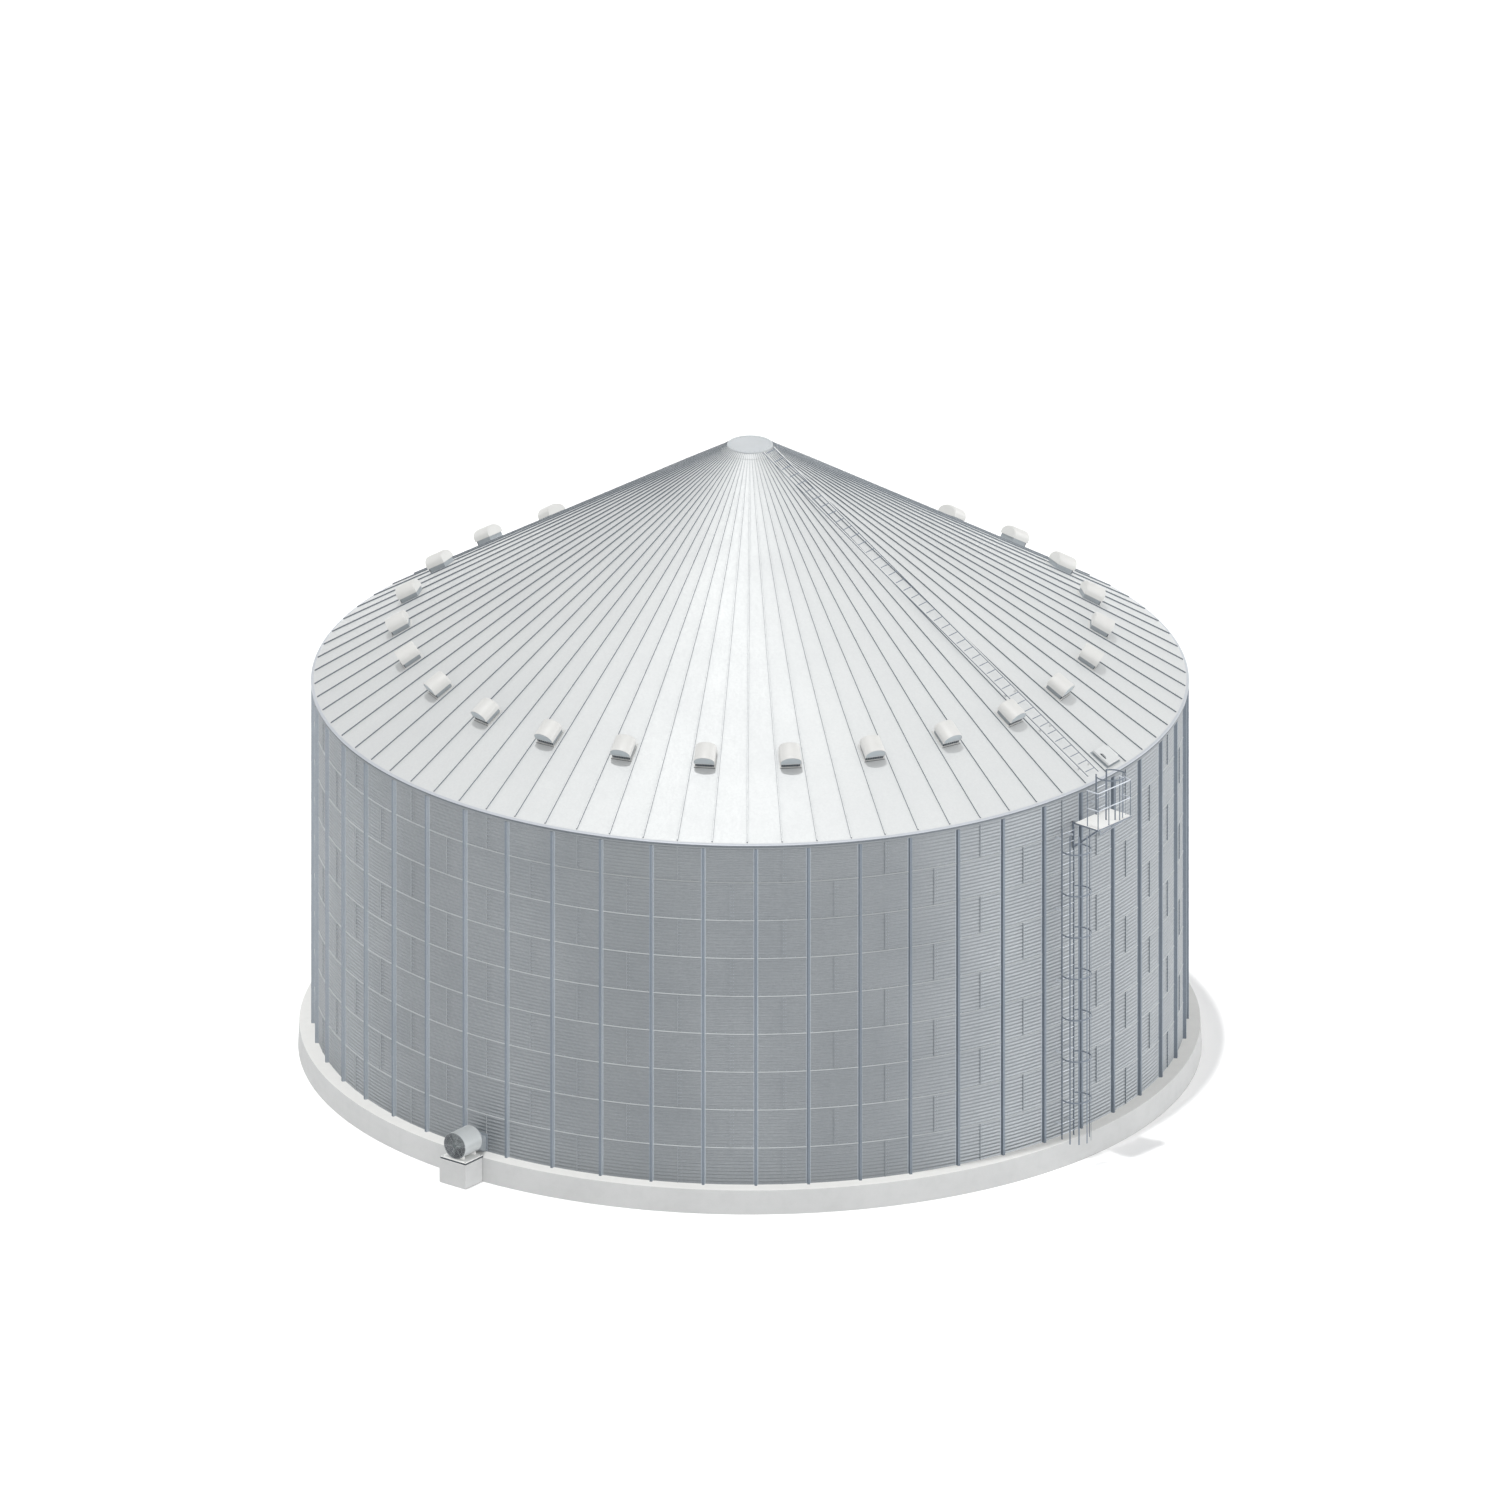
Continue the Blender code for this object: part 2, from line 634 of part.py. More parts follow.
def build_hatch(curb_finish, lid_finish):
    seat = on_roof(HATCH_RADIUS)
    outer = HATCH_CURB_OUTSIDE / 2
    inner = HATCH_CURB_INSIDE / 2
    curb = framed("curb", outer, inner, CONTACT_GAP, HATCH_CURB_HEIGHT)
    flange = framed("flange", HATCH_FLANGE / 2, inner + SINK, CONTACT_GAP, HATCH_FLANGE_THICKNESS)
    curb = fused("curb", curb, flange)
    hinge_z = HATCH_CURB_HEIGHT + RUN_CLEARANCE
    ear_low = HINGE_KNUCKLE_LENGTH / 2 + RUN_CLEARANCE
    ear_high = ear_low + HINGE_EAR_WIDTH
    ears = []
    for side in (-1, 1):
        ends = sorted((side * ear_low, side * ear_high))
        low = (outer - SINK, ends[0], HATCH_CURB_HEIGHT - HINGE_EAR_DROP)
        high = (HINGE_OFFSET + HINGE_KNUCKLE_RADIUS, ends[1], hinge_z + HINGE_KNUCKLE_RADIUS)
        ears.append(box("ear", low, high))
    curb = fused("curb", curb, gathered("ears", ears))
    pin_half = ear_high - HINGE_PIN_INSET
    pin = cylinder("pin", HINGE_PIN_RADIUS, -pin_half, pin_half, HINGE_SIDES)
    pin_turn = Matrix.Translation((HINGE_OFFSET, 0, hinge_z)) @ Matrix.Rotation(math.pi / 2, 4, "X")
    curb = fused("hatch_curb", curb, moved(pin, pin_turn))
    place("hatch_curb", moved(curb, seat), curb_finish, HATCH_BEARING)

    # The lid is drawn about its hinge line, which is the object's origin.
    half = LID_SIZE / 2
    right = outer - HINGE_SIDE_CLEARANCE - HINGE_OFFSET
    left = -half - HINGE_OFFSET
    plate = box("plate", (left, -half, 0), (right, half, LID_THICKNESS))
    lip = LID_LIP_THICKNESS
    end = right - lip
    side = half - lip / 2
    far = left + lip / 2
    outline = [
        (end, -side), (far, -side), (far, side), (end, side),
        (end, side - lip), (far + lip, side - lip), (far + lip, -side + lip), (end, -side + lip),
    ]
    lips = extruded("lips", outline, -LID_LIP_DEPTH, SINK)
    lid = fused("lid", plate, lips)
    knuckle_half = HINGE_KNUCKLE_LENGTH / 2
    profile = [
        (HINGE_BORE_RADIUS, -knuckle_half), (HINGE_KNUCKLE_RADIUS, -knuckle_half),
        (HINGE_KNUCKLE_RADIUS, knuckle_half), (HINGE_BORE_RADIUS, knuckle_half),
    ]
    knuckle = moved(turned("knuckle", profile, HINGE_SIDES), Matrix.Rotation(math.pi / 2, 4, "X"))
    leaf_low = HINGE_BORE_RADIUS + LEAF_INSET / 2
    leaf_high = LID_THICKNESS - LEAF_INSET
    leaf_half = knuckle_half - LEAF_INSET
    leaf = box("leaf", (right - SINK, -leaf_half, leaf_low), (0, leaf_half, leaf_high))
    lid = fused("lid", lid, leaf)
    lid = fused("lid", lid, knuckle)
    grip_x = left + HANDLE_OFFSET
    end = HANDLE_HALF_LENGTH
    post = end - HANDLE_POST
    foot = LID_THICKNESS - SINK
    crest = LID_THICKNESS + HANDLE_RISE
    under = crest - HANDLE_TOP
    grip = [
        (-end, foot), (-post, foot), (-post, under), (post, under),
        (post, foot), (end, foot), (end, crest), (-end, crest),
    ]
    handle = extruded("handle", grip, grip_x - HANDLE_BAR / 2, grip_x + HANDLE_BAR / 2, "X")
    lid = fused("hatch_lid", lid, handle)
    item = place("hatch_lid", lid, lid_finish)
    turn = Matrix.Rotation(math.radians(HATCH_BEARING), 4, "Z")
    item.matrix_world = turn @ seat @ Matrix.Translation((HINGE_OFFSET, 0, hinge_z))


# Ladders, cages and platform

def rung_levels(low, high):
    count = int((high - low) / LADDER_RUNG_PITCH)
    return [low + LADDER_RUNG_PITCH * (i + 0.5) for i in range(count)]


def stood_ladder(name, low, high, clip_levels):
    """Upright ladder facing -Y with clips back to the wall's flat."""
    width, depth = LADDER_STILE
    face = LADDER_FACE_RADIUS
    stiles = []
    breaks = [z + LADDER_RUNG_PITCH / 2 for z in rung_levels(low, high)]
    for side in (-1, 1):
        x = side * LADDER_HALF_WIDTH
        stile_low = (x - width / 2, -face - depth / 2, low)
        stiles.append(jointed("stile", stile_low, (x + width / 2, -face + depth / 2, high), breaks))
    crossing = []
    half = LADDER_RUNG / 2
    reach = LADDER_HALF_WIDTH
    for z in rung_levels(low, high):
        crossing.append(box("rung", (-reach, -face - half, z - half), (reach, -face + half, z + half)))
    wall_flat = WALL_FLAT + CONTACT_GAP
    clip_half = LADDER_CLIP[0] / 2
    clip_rise = LADDER_CLIP[1] / 2
    for z in clip_levels:
        for side in (-1, 1):
            x = side * (LADDER_HALF_WIDTH - LADDER_CLIP_INSET)
            clip_low = (x - clip_half, -face + depth / 2 - SINK, z - clip_rise)
            crossing.append(box("clip", clip_low, (x + clip_half, -wall_flat, z + clip_rise)))
    return fused(name, gathered("stiles", stiles), gathered("rungs", crossing), False)


def cage_mesh(name, low, high, hoop_levels):
    """Round safety cage about a ladder that faces -Y."""
    centre = Vector((0, -CAGE_CENTRE_RADIUS, 0))
    back = CAGE_CENTRE_RADIUS - LADDER_FACE_RADIUS
    sweep_angle = 180.0 - math.degrees(math.acos(back / CAGE_RADIUS)) - CAGE_END_ANGLE
    step = 2 * sweep_angle / CAGE_HOOP_STEPS
    stops = [-sweep_angle + step * i for i in range(CAGE_HOOP_STEPS + 1)]
    hoops = []
    for z in hoop_levels:
        path = [centre + polar(CAGE_RADIUS, a, z) for a in stops]
        hoops.append(swept("hoop", path, CAGE_BAR_THICKNESS, CAGE_BAR_WIDTH))
    bars = []
    tab_near = LADDER_HALF_WIDTH + LADDER_STILE[0] / 2 + CONTACT_GAP
    tab_far = CAGE_RADIUS * math.sin(math.radians(sweep_angle))
    tab_out = CAGE_CENTRE_RADIUS + CAGE_RADIUS * math.cos(math.radians(sweep_angle))
    tab_half = CAGE_BAR_WIDTH / 2 - CAGE_TAB_TRIM
    for z in hoop_levels:
        for side in (-1, 1):
            ends = sorted((side * tab_near, side * tab_far))
            tab_low = (ends[0], -tab_out - CAGE_BAR_THICKNESS, z - tab_half)
            bars.append(box("tab", tab_low, (ends[1], -tab_out + CAGE_BAR_THICKNESS, z + tab_half)))
    for i in range(-2, 3):
        turn = Matrix.Translation(centre) @ Matrix.Rotation(math.radians(CAGE_BAR_SPREAD * i), 4, "Z")
        near = CAGE_RADIUS * math.cos(math.radians(step / 2)) - CAGE_STRIP_INSET
        half = CAGE_BAR_WIDTH / 2
        bar = box("bar", (-half, -near - CAGE_STRIP, low), (half, -near, high))
        bars.append(moved(bar, turn))
    return fused(name, gathered("hoops", hoops), gathered("bars", bars))


def build_ladders(finish, cage_finish):
    low = SLAB_HEIGHT + CONTACT_GAP
    high = DECK_TOP
    first = SLAB_HEIGHT + LADDER_CLIP_FIRST
    clips = [first + LADDER_CLIP_PITCH * i for i in range(LADDER_CLIP_COUNT)]
    place("wall_ladder", stood_ladder("wall_ladder", low, high, clips), finish, LOWER_LADDER_BEARING)
    first = SLAB_HEIGHT + CAGE_LOWEST_HOOP
    hoops = [first + CAGE_HOOP_PITCH * i for i in range(CAGE_HOOP_COUNT)]
    cage_high = DECK_TOP - DECK_THICKNESS - RUN_CLEARANCE
    cage = cage_mesh("ladder_cage", low + CAGE_FOOT_GAP, cage_high, hoops)
    place("ladder_cage", cage, cage_finish, LOWER_LADDER_BEARING)
    low = DECK_TOP + CONTACT_GAP
    high = DECK_TOP + UPPER_CAGE_HEIGHT
    shift = Matrix.Translation((LADDER_SHIFT, 0, 0))
    upper = stood_ladder("eave_ladder", low, high, [DECK_TOP + EAVE_CLIP_HEIGHT])
    place("eave_ladder", moved(upper, shift), finish, BAY_LADDER_BEARING)
    cage = cage_mesh("eave_cage", low, high, [high - CAGE_BAR_WIDTH / 2 - CAGE_TOP_INSET])
    place("eave_cage", moved(cage, shift), cage_finish, BAY_LADDER_BEARING)


def build_roof_ladder(finish):
    """Ladder up the slope, on feet that stand on the pan and on the peak's skirt."""
    width, depth = ROOF_LADDER_STILE
    start = ROOF_LADDER_FOOT
    length = (start - CAP_RADIUS - ROOF_LADDER_END_GAP) / math.cos(PAN_SLOPE)
    stiles = []
    for side in (-1, 1):
        x = side * LADDER_HALF_WIDTH + LADDER_SHIFT
        low = (x - width / 2, 0, ROOF_LADDER_LIFT)
        high = (x + width / 2, length, ROOF_LADDER_LIFT + depth)
        stiles.append(box("stile", low, high))
    crossing = []
    half = LADDER_RUNG / 2
    middle = ROOF_LADDER_LIFT + depth / 2
    left = LADDER_SHIFT - LADDER_HALF_WIDTH
    right = LADDER_SHIFT + LADDER_HALF_WIDTH
    seat_y = (start - PEAK_SEAT_RADIUS) / math.cos(PAN_SLOPE)
    levels = [y for y in rung_levels(0, length) if abs(y - seat_y) > LADDER_RUNG_PITCH / 2]
    for y in (*levels, seat_y):
        crossing.append(box("rung", (left, y - half, middle - half), (right, y + half, middle + half)))
    pad_x = ROOF_LADDER_PAD[0] / 2
    pad_y = ROOF_LADDER_PAD[1] / 2
    top = ROOF_LADDER_LIFT + SINK
    for y in ROOF_LADDER_FEET:
        for side in (-1, 1):
            x = side * (LADDER_HALF_WIDTH - ROOF_LADDER_PAD_INSET) + LADDER_SHIFT
            crossing.append(box("foot", (x - pad_x, y - pad_y, CONTACT_GAP), (x + pad_x, y + pad_y, top)))
    ladder = fused("roof_ladder", gathered("stiles", stiles), gathered("rungs", crossing))
    skirt = (PEAK_SKIRT_THICKNESS + CONTACT_GAP) * math.cos(PAN_SLOPE) + CONTACT_GAP
    tab_x = PEAK_SEAT_TAB[0] / 2
    tab_y = PEAK_SEAT_TAB[1] / 2
    seat = box("seat", (-tab_x, seat_y - tab_y, skirt), (tab_x, seat_y + tab_y, middle))
    ladder = fused("roof_ladder", ladder, seat)
    place("roof_ladder", moved(ladder, on_roof(start)), finish, BAY_LADDER_BEARING)


def wall_reach(across):
    """How far out the faceted wall stands at a sideways distance from a stiffener."""
    step = math.radians(BAY_ANGLE / WALL_FACETS_PER_BAY)
    index = int(math.asin(abs(across) / SHEET_OUTER) / step)
    near = Vector((math.sin(index * step), math.cos(index * step))) * SHEET_OUTER
    far = Vector((math.sin((index + 1) * step), math.cos((index + 1) * step))) * SHEET_OUTER
    share = (abs(across) - near.x) / (far.x - near.x)
    return near.y + share * (far.y - near.y)


def bracket_mesh(across):
    """Triangular knee bracket under the deck, its leg against the wall."""
    half = BRACE_SIZE / 2
    wall = wall_reach(abs(across) - half) + CONTACT_GAP
    top = DECK_TOP - DECK_THICKNESS - CONTACT_GAP
    foot = top - BRACE_DROP
    tip = DECK_OUTER - BRACE_TIP_INSET
    size = BRACE_SIZE
    outer = [(-wall, foot), (-wall, top), (-tip, top), (-tip, top - size), (-wall - size, foot)]
    inner = [
        (-wall - size, foot + BRACE_LOW_CORNER * size), (-wall - size, top - size),
        (-tip + BRACE_FAR_CORNER * size, top - size),
    ]
    frame = extruded("frame", outer, across - half, across + half, "X")
    gap = extruded("gap", inner, across - size, across + size, "X")
    return cut_from("bracket", frame, gap)


def build_platform(deck_finish, frame_finish, rail_finish):
    low = (DECK_LEFT, -DECK_OUTER, DECK_TOP - DECK_THICKNESS)
    deck = box("platform_deck", low, (DECK_RIGHT, -DECK_INNER, DECK_TOP))
    place("platform_deck", deck, deck_finish, DECK_BEARING)
    for side, across in (("left", DECK_LEFT + BRACKET_INSET), ("right", DECK_RIGHT - BRACKET_INSET)):
        place("platform_bracket_" + side, bracket_mesh(across), frame_finish, DECK_BEARING)
    inset = RAIL_SIZE / 2 + RAIL_EDGE
    left = DECK_LEFT + inset
    right = DECK_RIGHT - inset
    front = -DECK_OUTER + inset
    back = front + RAIL_RETURN
    rails = []
    for height in (RAIL_HEIGHT / 2, RAIL_HEIGHT - RAIL_SIZE / 2):
        z = DECK_TOP + height
        corners = [(left, back), (left, front), (right, front), (right, back)]
        path = [Vector((x, y, z)) for x, y in corners]
        rails.append(swept("rail", path, RAIL_SIZE, RAIL_SIZE))
    posts = []
    half = RAIL_SIZE / 2 - RAIL_POST_TRIM
    span = right - left
    spots = [(left + span * i / 3, front) for i in range(4)]
    spots += [(left, back - half), (right, back - half)]
    for x, y in spots:
        foot = DECK_TOP + CONTACT_GAP
        top = DECK_TOP + RAIL_HEIGHT - RAIL_POST_TRIM
        posts.append(box("post", (x - half, y - half, foot), (x + half, y + half, top)))
    railing = fused("platform_railing", gathered("rails", rails), gathered("posts", posts))
    place("platform_railing", railing, rail_finish, DECK_BEARING)


# Aeration fan

def along_fan(distance):
    """Frame on the fan's axis at a distance from the silo's axis: Z points out to the intake."""
    return Matrix.Translation((0, -distance, FAN_AXIS_Z)) @ Matrix.Rotation(math.pi / 2, 4, "X")


def build_fan_base(concrete, steel):
    inner = SLAB_RADIUS * math.cos(math.pi / SLAB_SIDES) + CONTACT_GAP
    half = PLINTH_WIDTH / 2
    plinth = box("fan_plinth", (-half, -PLINTH_OUTER, 0), (half, -inner, SLAB_HEIGHT))
    place("fan_plinth", plinth, concrete, FAN_BEARING)
    half = FAN_PLATE_WIDTH / 2
    bottom = SLAB_HEIGHT + CONTACT_GAP
    plate_low = SLAB_HEIGHT + SKID_HEIGHT
    plate_high = plate_low + FAN_PLATE_THICKNESS
    plate = box("plate", (-half, -FAN_PLATE_OUTER, plate_low), (half, -FAN_PLATE_INNER, plate_high))
    under = []
    for side in (-1, 1):
        x = side * (half - SKID_INSET)
        low = (x - SKID_WIDTH / 2, -FAN_PLATE_OUTER + SKID_END_GAP, bottom)
        high = (x + SKID_WIDTH / 2, -FAN_PLATE_INNER - SKID_END_GAP, plate_low + SINK)
        under.append(box("skid", low, high))
    base = fused("base", plate, gathered("skids", under))
    saddles = []
    half = SADDLE_WIDTH / 2
    thick = SADDLE_THICKNESS / 2
    for distance in (FAN_FRONT - SADDLE_INSET, FAN_BACK + SADDLE_INSET):
        low = (-half, -distance - thick, plate_high - SINK)
        saddles.append(box("saddle", low, (half, -distance + thick, plate_high + SADDLE_HEIGHT)))
    base = fused("base", base, gathered("saddles", saddles))
    reach = DRUM_CUT_HALF
    drum = cylinder("drum", FAN_RADIUS + CONTACT_GAP, -reach, reach, FAN_SIDES, math.pi / FAN_SIDES)
    base = cut_from("fan_base", base, moved(drum, along_fan((FAN_FRONT + FAN_BACK) / 2)))
    place("fan_base", base, steel, FAN_BEARING)


def build_fan_housing(finish):
    length = FAN_FRONT - FAN_BACK
    inner = FAN_RADIUS - FAN_SHELL
    profile = [(inner, 0), (inner, length), (FAN_RADIUS, length), (FAN_RADIUS, 0)]
    rings = []
    for i in range(FAN_SIDES):
        angle = 2 * math.pi * (i + 0.5) / FAN_SIDES
        rings.append([(r * math.cos(angle), r * math.sin(angle), z) for r, z in profile])
    shell = looped("fan_housing", rings)
    place("fan_housing", moved(shell, along_fan(FAN_BACK)), finish, FAN_BEARING, 30)


def build_transition(finish):
    """Duct from the round housing to the rectangular port in the wall."""
    count = FAN_SIDES
    half_w = DUCT_WIDTH / 2
    low = SLAB_HEIGHT + CONTACT_GAP - FAN_AXIS_Z
    high = SLAB_HEIGHT + DUCT_HEIGHT - FAN_AXIS_Z
    middle = (low + high) / 2
    half_h = (high - low) / 2

    def rectangle(trim):
        # Each octant's points are spread evenly along half a side, so the last ones reach the corner.
        octant = count // 8
        spread = [DUCT_CORNER * (i + 0.5) / (octant - 0.5) for i in range(octant)]
        right = [(1.0, t) for t in spread] + [(t, 1.0) for t in reversed(spread)]
        upper = right + [(-x, z) for x, z in reversed(right)]
        whole = upper + [(x, -z) for x, z in reversed(upper)]
        return [((half_w - trim) * x, middle + (half_h - trim) * z) for x, z in whole]

    def circle(radius):
        angles = [2 * math.pi * (i + 0.5) / count for i in range(count)]
        return [(radius * math.cos(a), radius * math.sin(a)) for a in angles]

    back = FAN_BACK - CONTACT_GAP
    bend = SHEET_OUTER + DUCT_BEND_OUT
    reach = DUCT_INSIDE_REACH
    stations = [
        (circle(FAN_RADIUS), back), (rectangle(0), bend), (rectangle(0), reach),
        (rectangle(DUCT_SHELL), reach), (rectangle(DUCT_SHELL), bend),
        (circle(FAN_RADIUS - FAN_SHELL), back),
    ]
    rings = [[(x, -distance, FAN_AXIS_Z + z) for x, z in ring] for ring, distance in stations]
    duct = looped("duct", rings)
    outer_x = half_w + DUCT_COLLAR
    top = SLAB_HEIGHT + DUCT_HEIGHT
    bottom = SLAB_HEIGHT + CONTACT_GAP
    inset = DUCT_SHELL / 2
    outline = [
        (-outer_x, bottom), (-half_w + inset, bottom), (-half_w + inset, top - inset),
        (half_w - inset, top - inset), (half_w - inset, bottom), (outer_x, bottom),
        (outer_x, top + DUCT_COLLAR), (-outer_x, top + DUCT_COLLAR),
    ]
    near = -SHEET_OUTER - DUCT_COLLAR_THICKNESS
    collar = extruded("collar", outline, near - DUCT_COLLAR_THICKNESS, near, "Y")
    duct = fused("fan_transition", duct, collar)
    place("fan_transition", duct, finish, FAN_BEARING)


def build_guard(finish):
    """Inlet guard: rings and spokes that meet the housing's mouth."""
    outer = FAN_RADIUS - 0.004
    rings = []
    for radius in (*GUARD_RINGS, outer):
        count = GUARD_SMALL_SIDES if radius == GUARD_RINGS[0] else FAN_SIDES
        path = []
        for i in range(count):
            angle = 2 * math.pi * (i + 0.5) / count
            path.append(Vector((radius * math.cos(angle), radius * math.sin(angle), 0)))
        rings.append(swept("ring", path, GUARD_BAR, GUARD_BAR, True))
    spokes = []
    half = GUARD_BAR / 2 - 0.0005
    for i in range(GUARD_SPOKES):
        turn = Matrix.Rotation(math.pi * 2 * i / GUARD_SPOKES + math.pi / FAN_SIDES, 4, "Z")
        spoke = box("spoke", (GUARD_SPOKE_START, -half, -half), (outer, half, half))
        spokes.append(moved(spoke, turn))
    boss = cylinder("boss", GUARD_BOSS_RADIUS, -half, half, GUARD_SMALL_SIDES)
    guard = fused("guard", gathered("rings", rings), boss)
    guard = fused("fan_guard", guard, gathered("spokes", spokes))
    seat = FAN_FRONT + CONTACT_GAP + GUARD_BAR / 2
    place("fan_guard", moved(guard, along_fan(seat)), finish, FAN_BEARING)


def blade_mesh():
    """One pitched blade along +X, thin and turned more at its root."""
    rings = []
    for radius, pitch, chord in BLADE_STATIONS:
        turn = math.radians(pitch)
        across = Vector((0, math.cos(turn), math.sin(turn))) * (chord / 2)
        thick = Vector((0, -math.sin(turn), math.cos(turn))) * (BLADE_THICKNESS / 2)
        rings.append([Vector((radius, 0, 0)) + s * across + t * thick
                      for s, t in ((-1, -1), (1, -1), (1, 1), (-1, 1))])
    return lofted("blade", rings)


def build_impeller(finish):
    half = IMPELLER_LENGTH / 2
    hub = cylinder("hub", IMPELLER_HUB, -half, half, FAN_SIDES)
    blades = []
    for i in range(IMPELLER_BLADES):
        blades.append(moved(blade_mesh(), Matrix.Rotation(2 * math.pi * i / IMPELLER_BLADES, 4, "Z")))
    wheel = fused("wheel", hub, gathered("blades", blades))
    shaft = cylinder("shaft", SHAFT_RADIUS, -half - SHAFT_LENGTH, -half + SINK, SHAFT_SIDES)
    wheel = fused("fan_impeller", wheel, shaft)
    item = place("fan_impeller", wheel, finish)
    turn = Matrix.Rotation(math.radians(FAN_BEARING), 4, "Z")
    item.matrix_world = turn @ along_fan(IMPELLER_FRONT - half)


def build_motor(finish):
    """Motor on struts behind the impeller, with a bore for its shaft."""
    front = IMPELLER_FRONT - IMPELLER_LENGTH - MOTOR_FRONT_GAP
    back = -MOTOR_LENGTH
    end = back - MOTOR_TAIL_LENGTH
    bore = SHAFT_RADIUS / math.cos(math.pi / SHAFT_SIDES) + SHAFT_CLEARANCE
    nose = MOTOR_NOSE_RADIUS
    profile = [
        (bore, 0), (nose, 0), (nose, -MOTOR_NOSE_LENGTH), (MOTOR_RADIUS, -2 * MOTOR_NOSE_LENGTH),
        (MOTOR_RADIUS, back), (MOTOR_TAIL_RADIUS, end), (bore, end),
    ]
    body = turned("body", profile, SHAFT_SIDES)
    plug = cylinder("plug", bore + MOTOR_PLUG_OVERLAP, end, -MOTOR_BORE_DEPTH, SHAFT_SIDES)
    body = fused("motor", body, plug)
    struts = []
    reach = (FAN_RADIUS - FAN_SHELL) * math.cos(math.pi / FAN_SIDES) - CONTACT_GAP
    for i in range(4):
        turn = Matrix.Rotation(math.pi / 2 * i + math.pi / 4, 4, "Z")
        half = STRUT_THICKNESS / 2
        strut = box("strut", (MOTOR_RADIUS - STRUT_ROOT, -half, back + STRUT_BACK), (reach, half, -STRUT_FRONT))
        struts.append(moved(strut, turn))
    motor = fused("fan_motor", body, gathered("struts", struts))
    place("fan_motor", moved(motor, along_fan(front)), finish, FAN_BEARING)


def main():
    clear_scene()
    concrete = material("concrete", (0.62, 0.62, 0.60), 0.9, 0.0)
    sheet = material("galvanised_sheet", (0.55, 0.57, 0.59), 0.45, 0.8)
    roof = material("galvanised_roof", (0.72, 0.74, 0.76), 0.4, 0.6)
    bright = material("bright_steel", (0.80, 0.81, 0.82), 0.4, 0.6)
    bars = material("galvanised_bars", (0.62, 0.64, 0.66), 0.5, 0.7)
    deck = material("painted_deck", (0.88, 0.88, 0.87), 0.6, 0.0)
    dark = material("dark_cast", (0.20, 0.23, 0.23), 0.5, 0.5)
    build_slab(concrete)
    build_wall(sheet)
    build_roof(roof)
    build_peak(roof, roof)
    build_hatch(bright, bright)
    build_ladders(bars, bars)
    build_roof_ladder(bars)
    build_platform(deck, bars, bars)
    build_fan_base(concrete, bright)
    build_fan_housing(bright)
    build_transition(bright)
    build_guard(dark)
    build_impeller(dark)
    build_motor(dark)


main()
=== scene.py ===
"""The grain silo's looks: galvanised sheets, stiffeners, roof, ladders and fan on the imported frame.

Metres, +Z up, in the CAD's frame. A bearing of 0 degrees faces -Y and bearings grow towards +X, so
each piece is drawn facing -Y and turned about Z to its bearing.
"""

import math

import bmesh
import bpy
from mathutils import Matrix, Vector


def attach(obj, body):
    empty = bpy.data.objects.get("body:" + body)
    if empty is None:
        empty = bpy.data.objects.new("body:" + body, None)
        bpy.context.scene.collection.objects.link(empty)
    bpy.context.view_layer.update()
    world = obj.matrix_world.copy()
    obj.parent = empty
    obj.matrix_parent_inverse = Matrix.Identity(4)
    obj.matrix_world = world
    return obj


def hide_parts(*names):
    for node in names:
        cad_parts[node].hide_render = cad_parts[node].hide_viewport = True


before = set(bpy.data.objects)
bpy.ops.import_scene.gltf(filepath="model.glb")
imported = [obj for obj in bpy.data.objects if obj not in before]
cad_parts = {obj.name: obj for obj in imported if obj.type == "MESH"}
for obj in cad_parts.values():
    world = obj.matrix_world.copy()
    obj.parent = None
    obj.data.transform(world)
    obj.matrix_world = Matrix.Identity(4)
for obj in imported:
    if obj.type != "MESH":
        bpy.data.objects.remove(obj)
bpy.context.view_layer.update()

# Sizes, as in the CAD part

SEAT_GAP = 0.0003
SLAB_RADIUS = 12.349
SLAB_HEIGHT = 0.70
PLINTH_WIDTH = 0.915
PLINTH_OUTER = 13.095
SECTORS = 13
STIFFENERS = 52
RIBS = 78
RING_HEIGHT = 1.1176
RING_COUNT = 9
WAVES_PER_RING = 11
SHEET_RADIUS = 11.887
SHEET_HALF = 0.008
STIFFENER_DEPTH = 0.100
FIRST_STIFFENER = 0.78
EAVE_RADIUS = 12.0
ROOF_RISE = 0.609
ROOF_THICKNESS = 0.03
CAP_RADIUS = 0.615
CAP_THICKNESS = 0.035
VENT_RADIUS = 9.50
HATCH_RADIUS = 11.53
LADDER_HALF = 0.23
LADDER_PITCH = 0.305
LADDER_FACE = 12.12
LADDER_SHIFT = -0.07
CAGE_RADIUS = 0.41
CAGE_CENTRE = 12.45
DECK_INNER = 12.067
DECK_OUTER = 12.904
DECK_LEFT = -0.396
DECK_RIGHT = 1.008
DECK_TOP = 9.866
DECK_THICKNESS = 0.045
RAIL_HEIGHT = 1.07
FAN_SECTOR = 11
FAN_BEARING = -38.4
FAN_AXIS_Z = 1.14
FAN_RADIUS = 0.376
FAN_FRONT = 12.99
FAN_BACK = 12.27

# Sizes that the CAD leaves out, or has larger

WAVE_DEPTH = 0.0100
WAVE_STEPS = 6 * WAVES_PER_RING
SEAM_DROP = 0.035
RIB_HEIGHT = 0.037
RIB_HALF = 0.018
SKIRT_SHEET = 0.014

# Light

SKY_LOW = 0.62
SKY_HIGH = 0.90
SUN_POWER = 1.5
SIDE_POWER = 0.70
SOFTBOX_POWER = 1.8
FILL_POWER = 0.41

# Values that follow from them

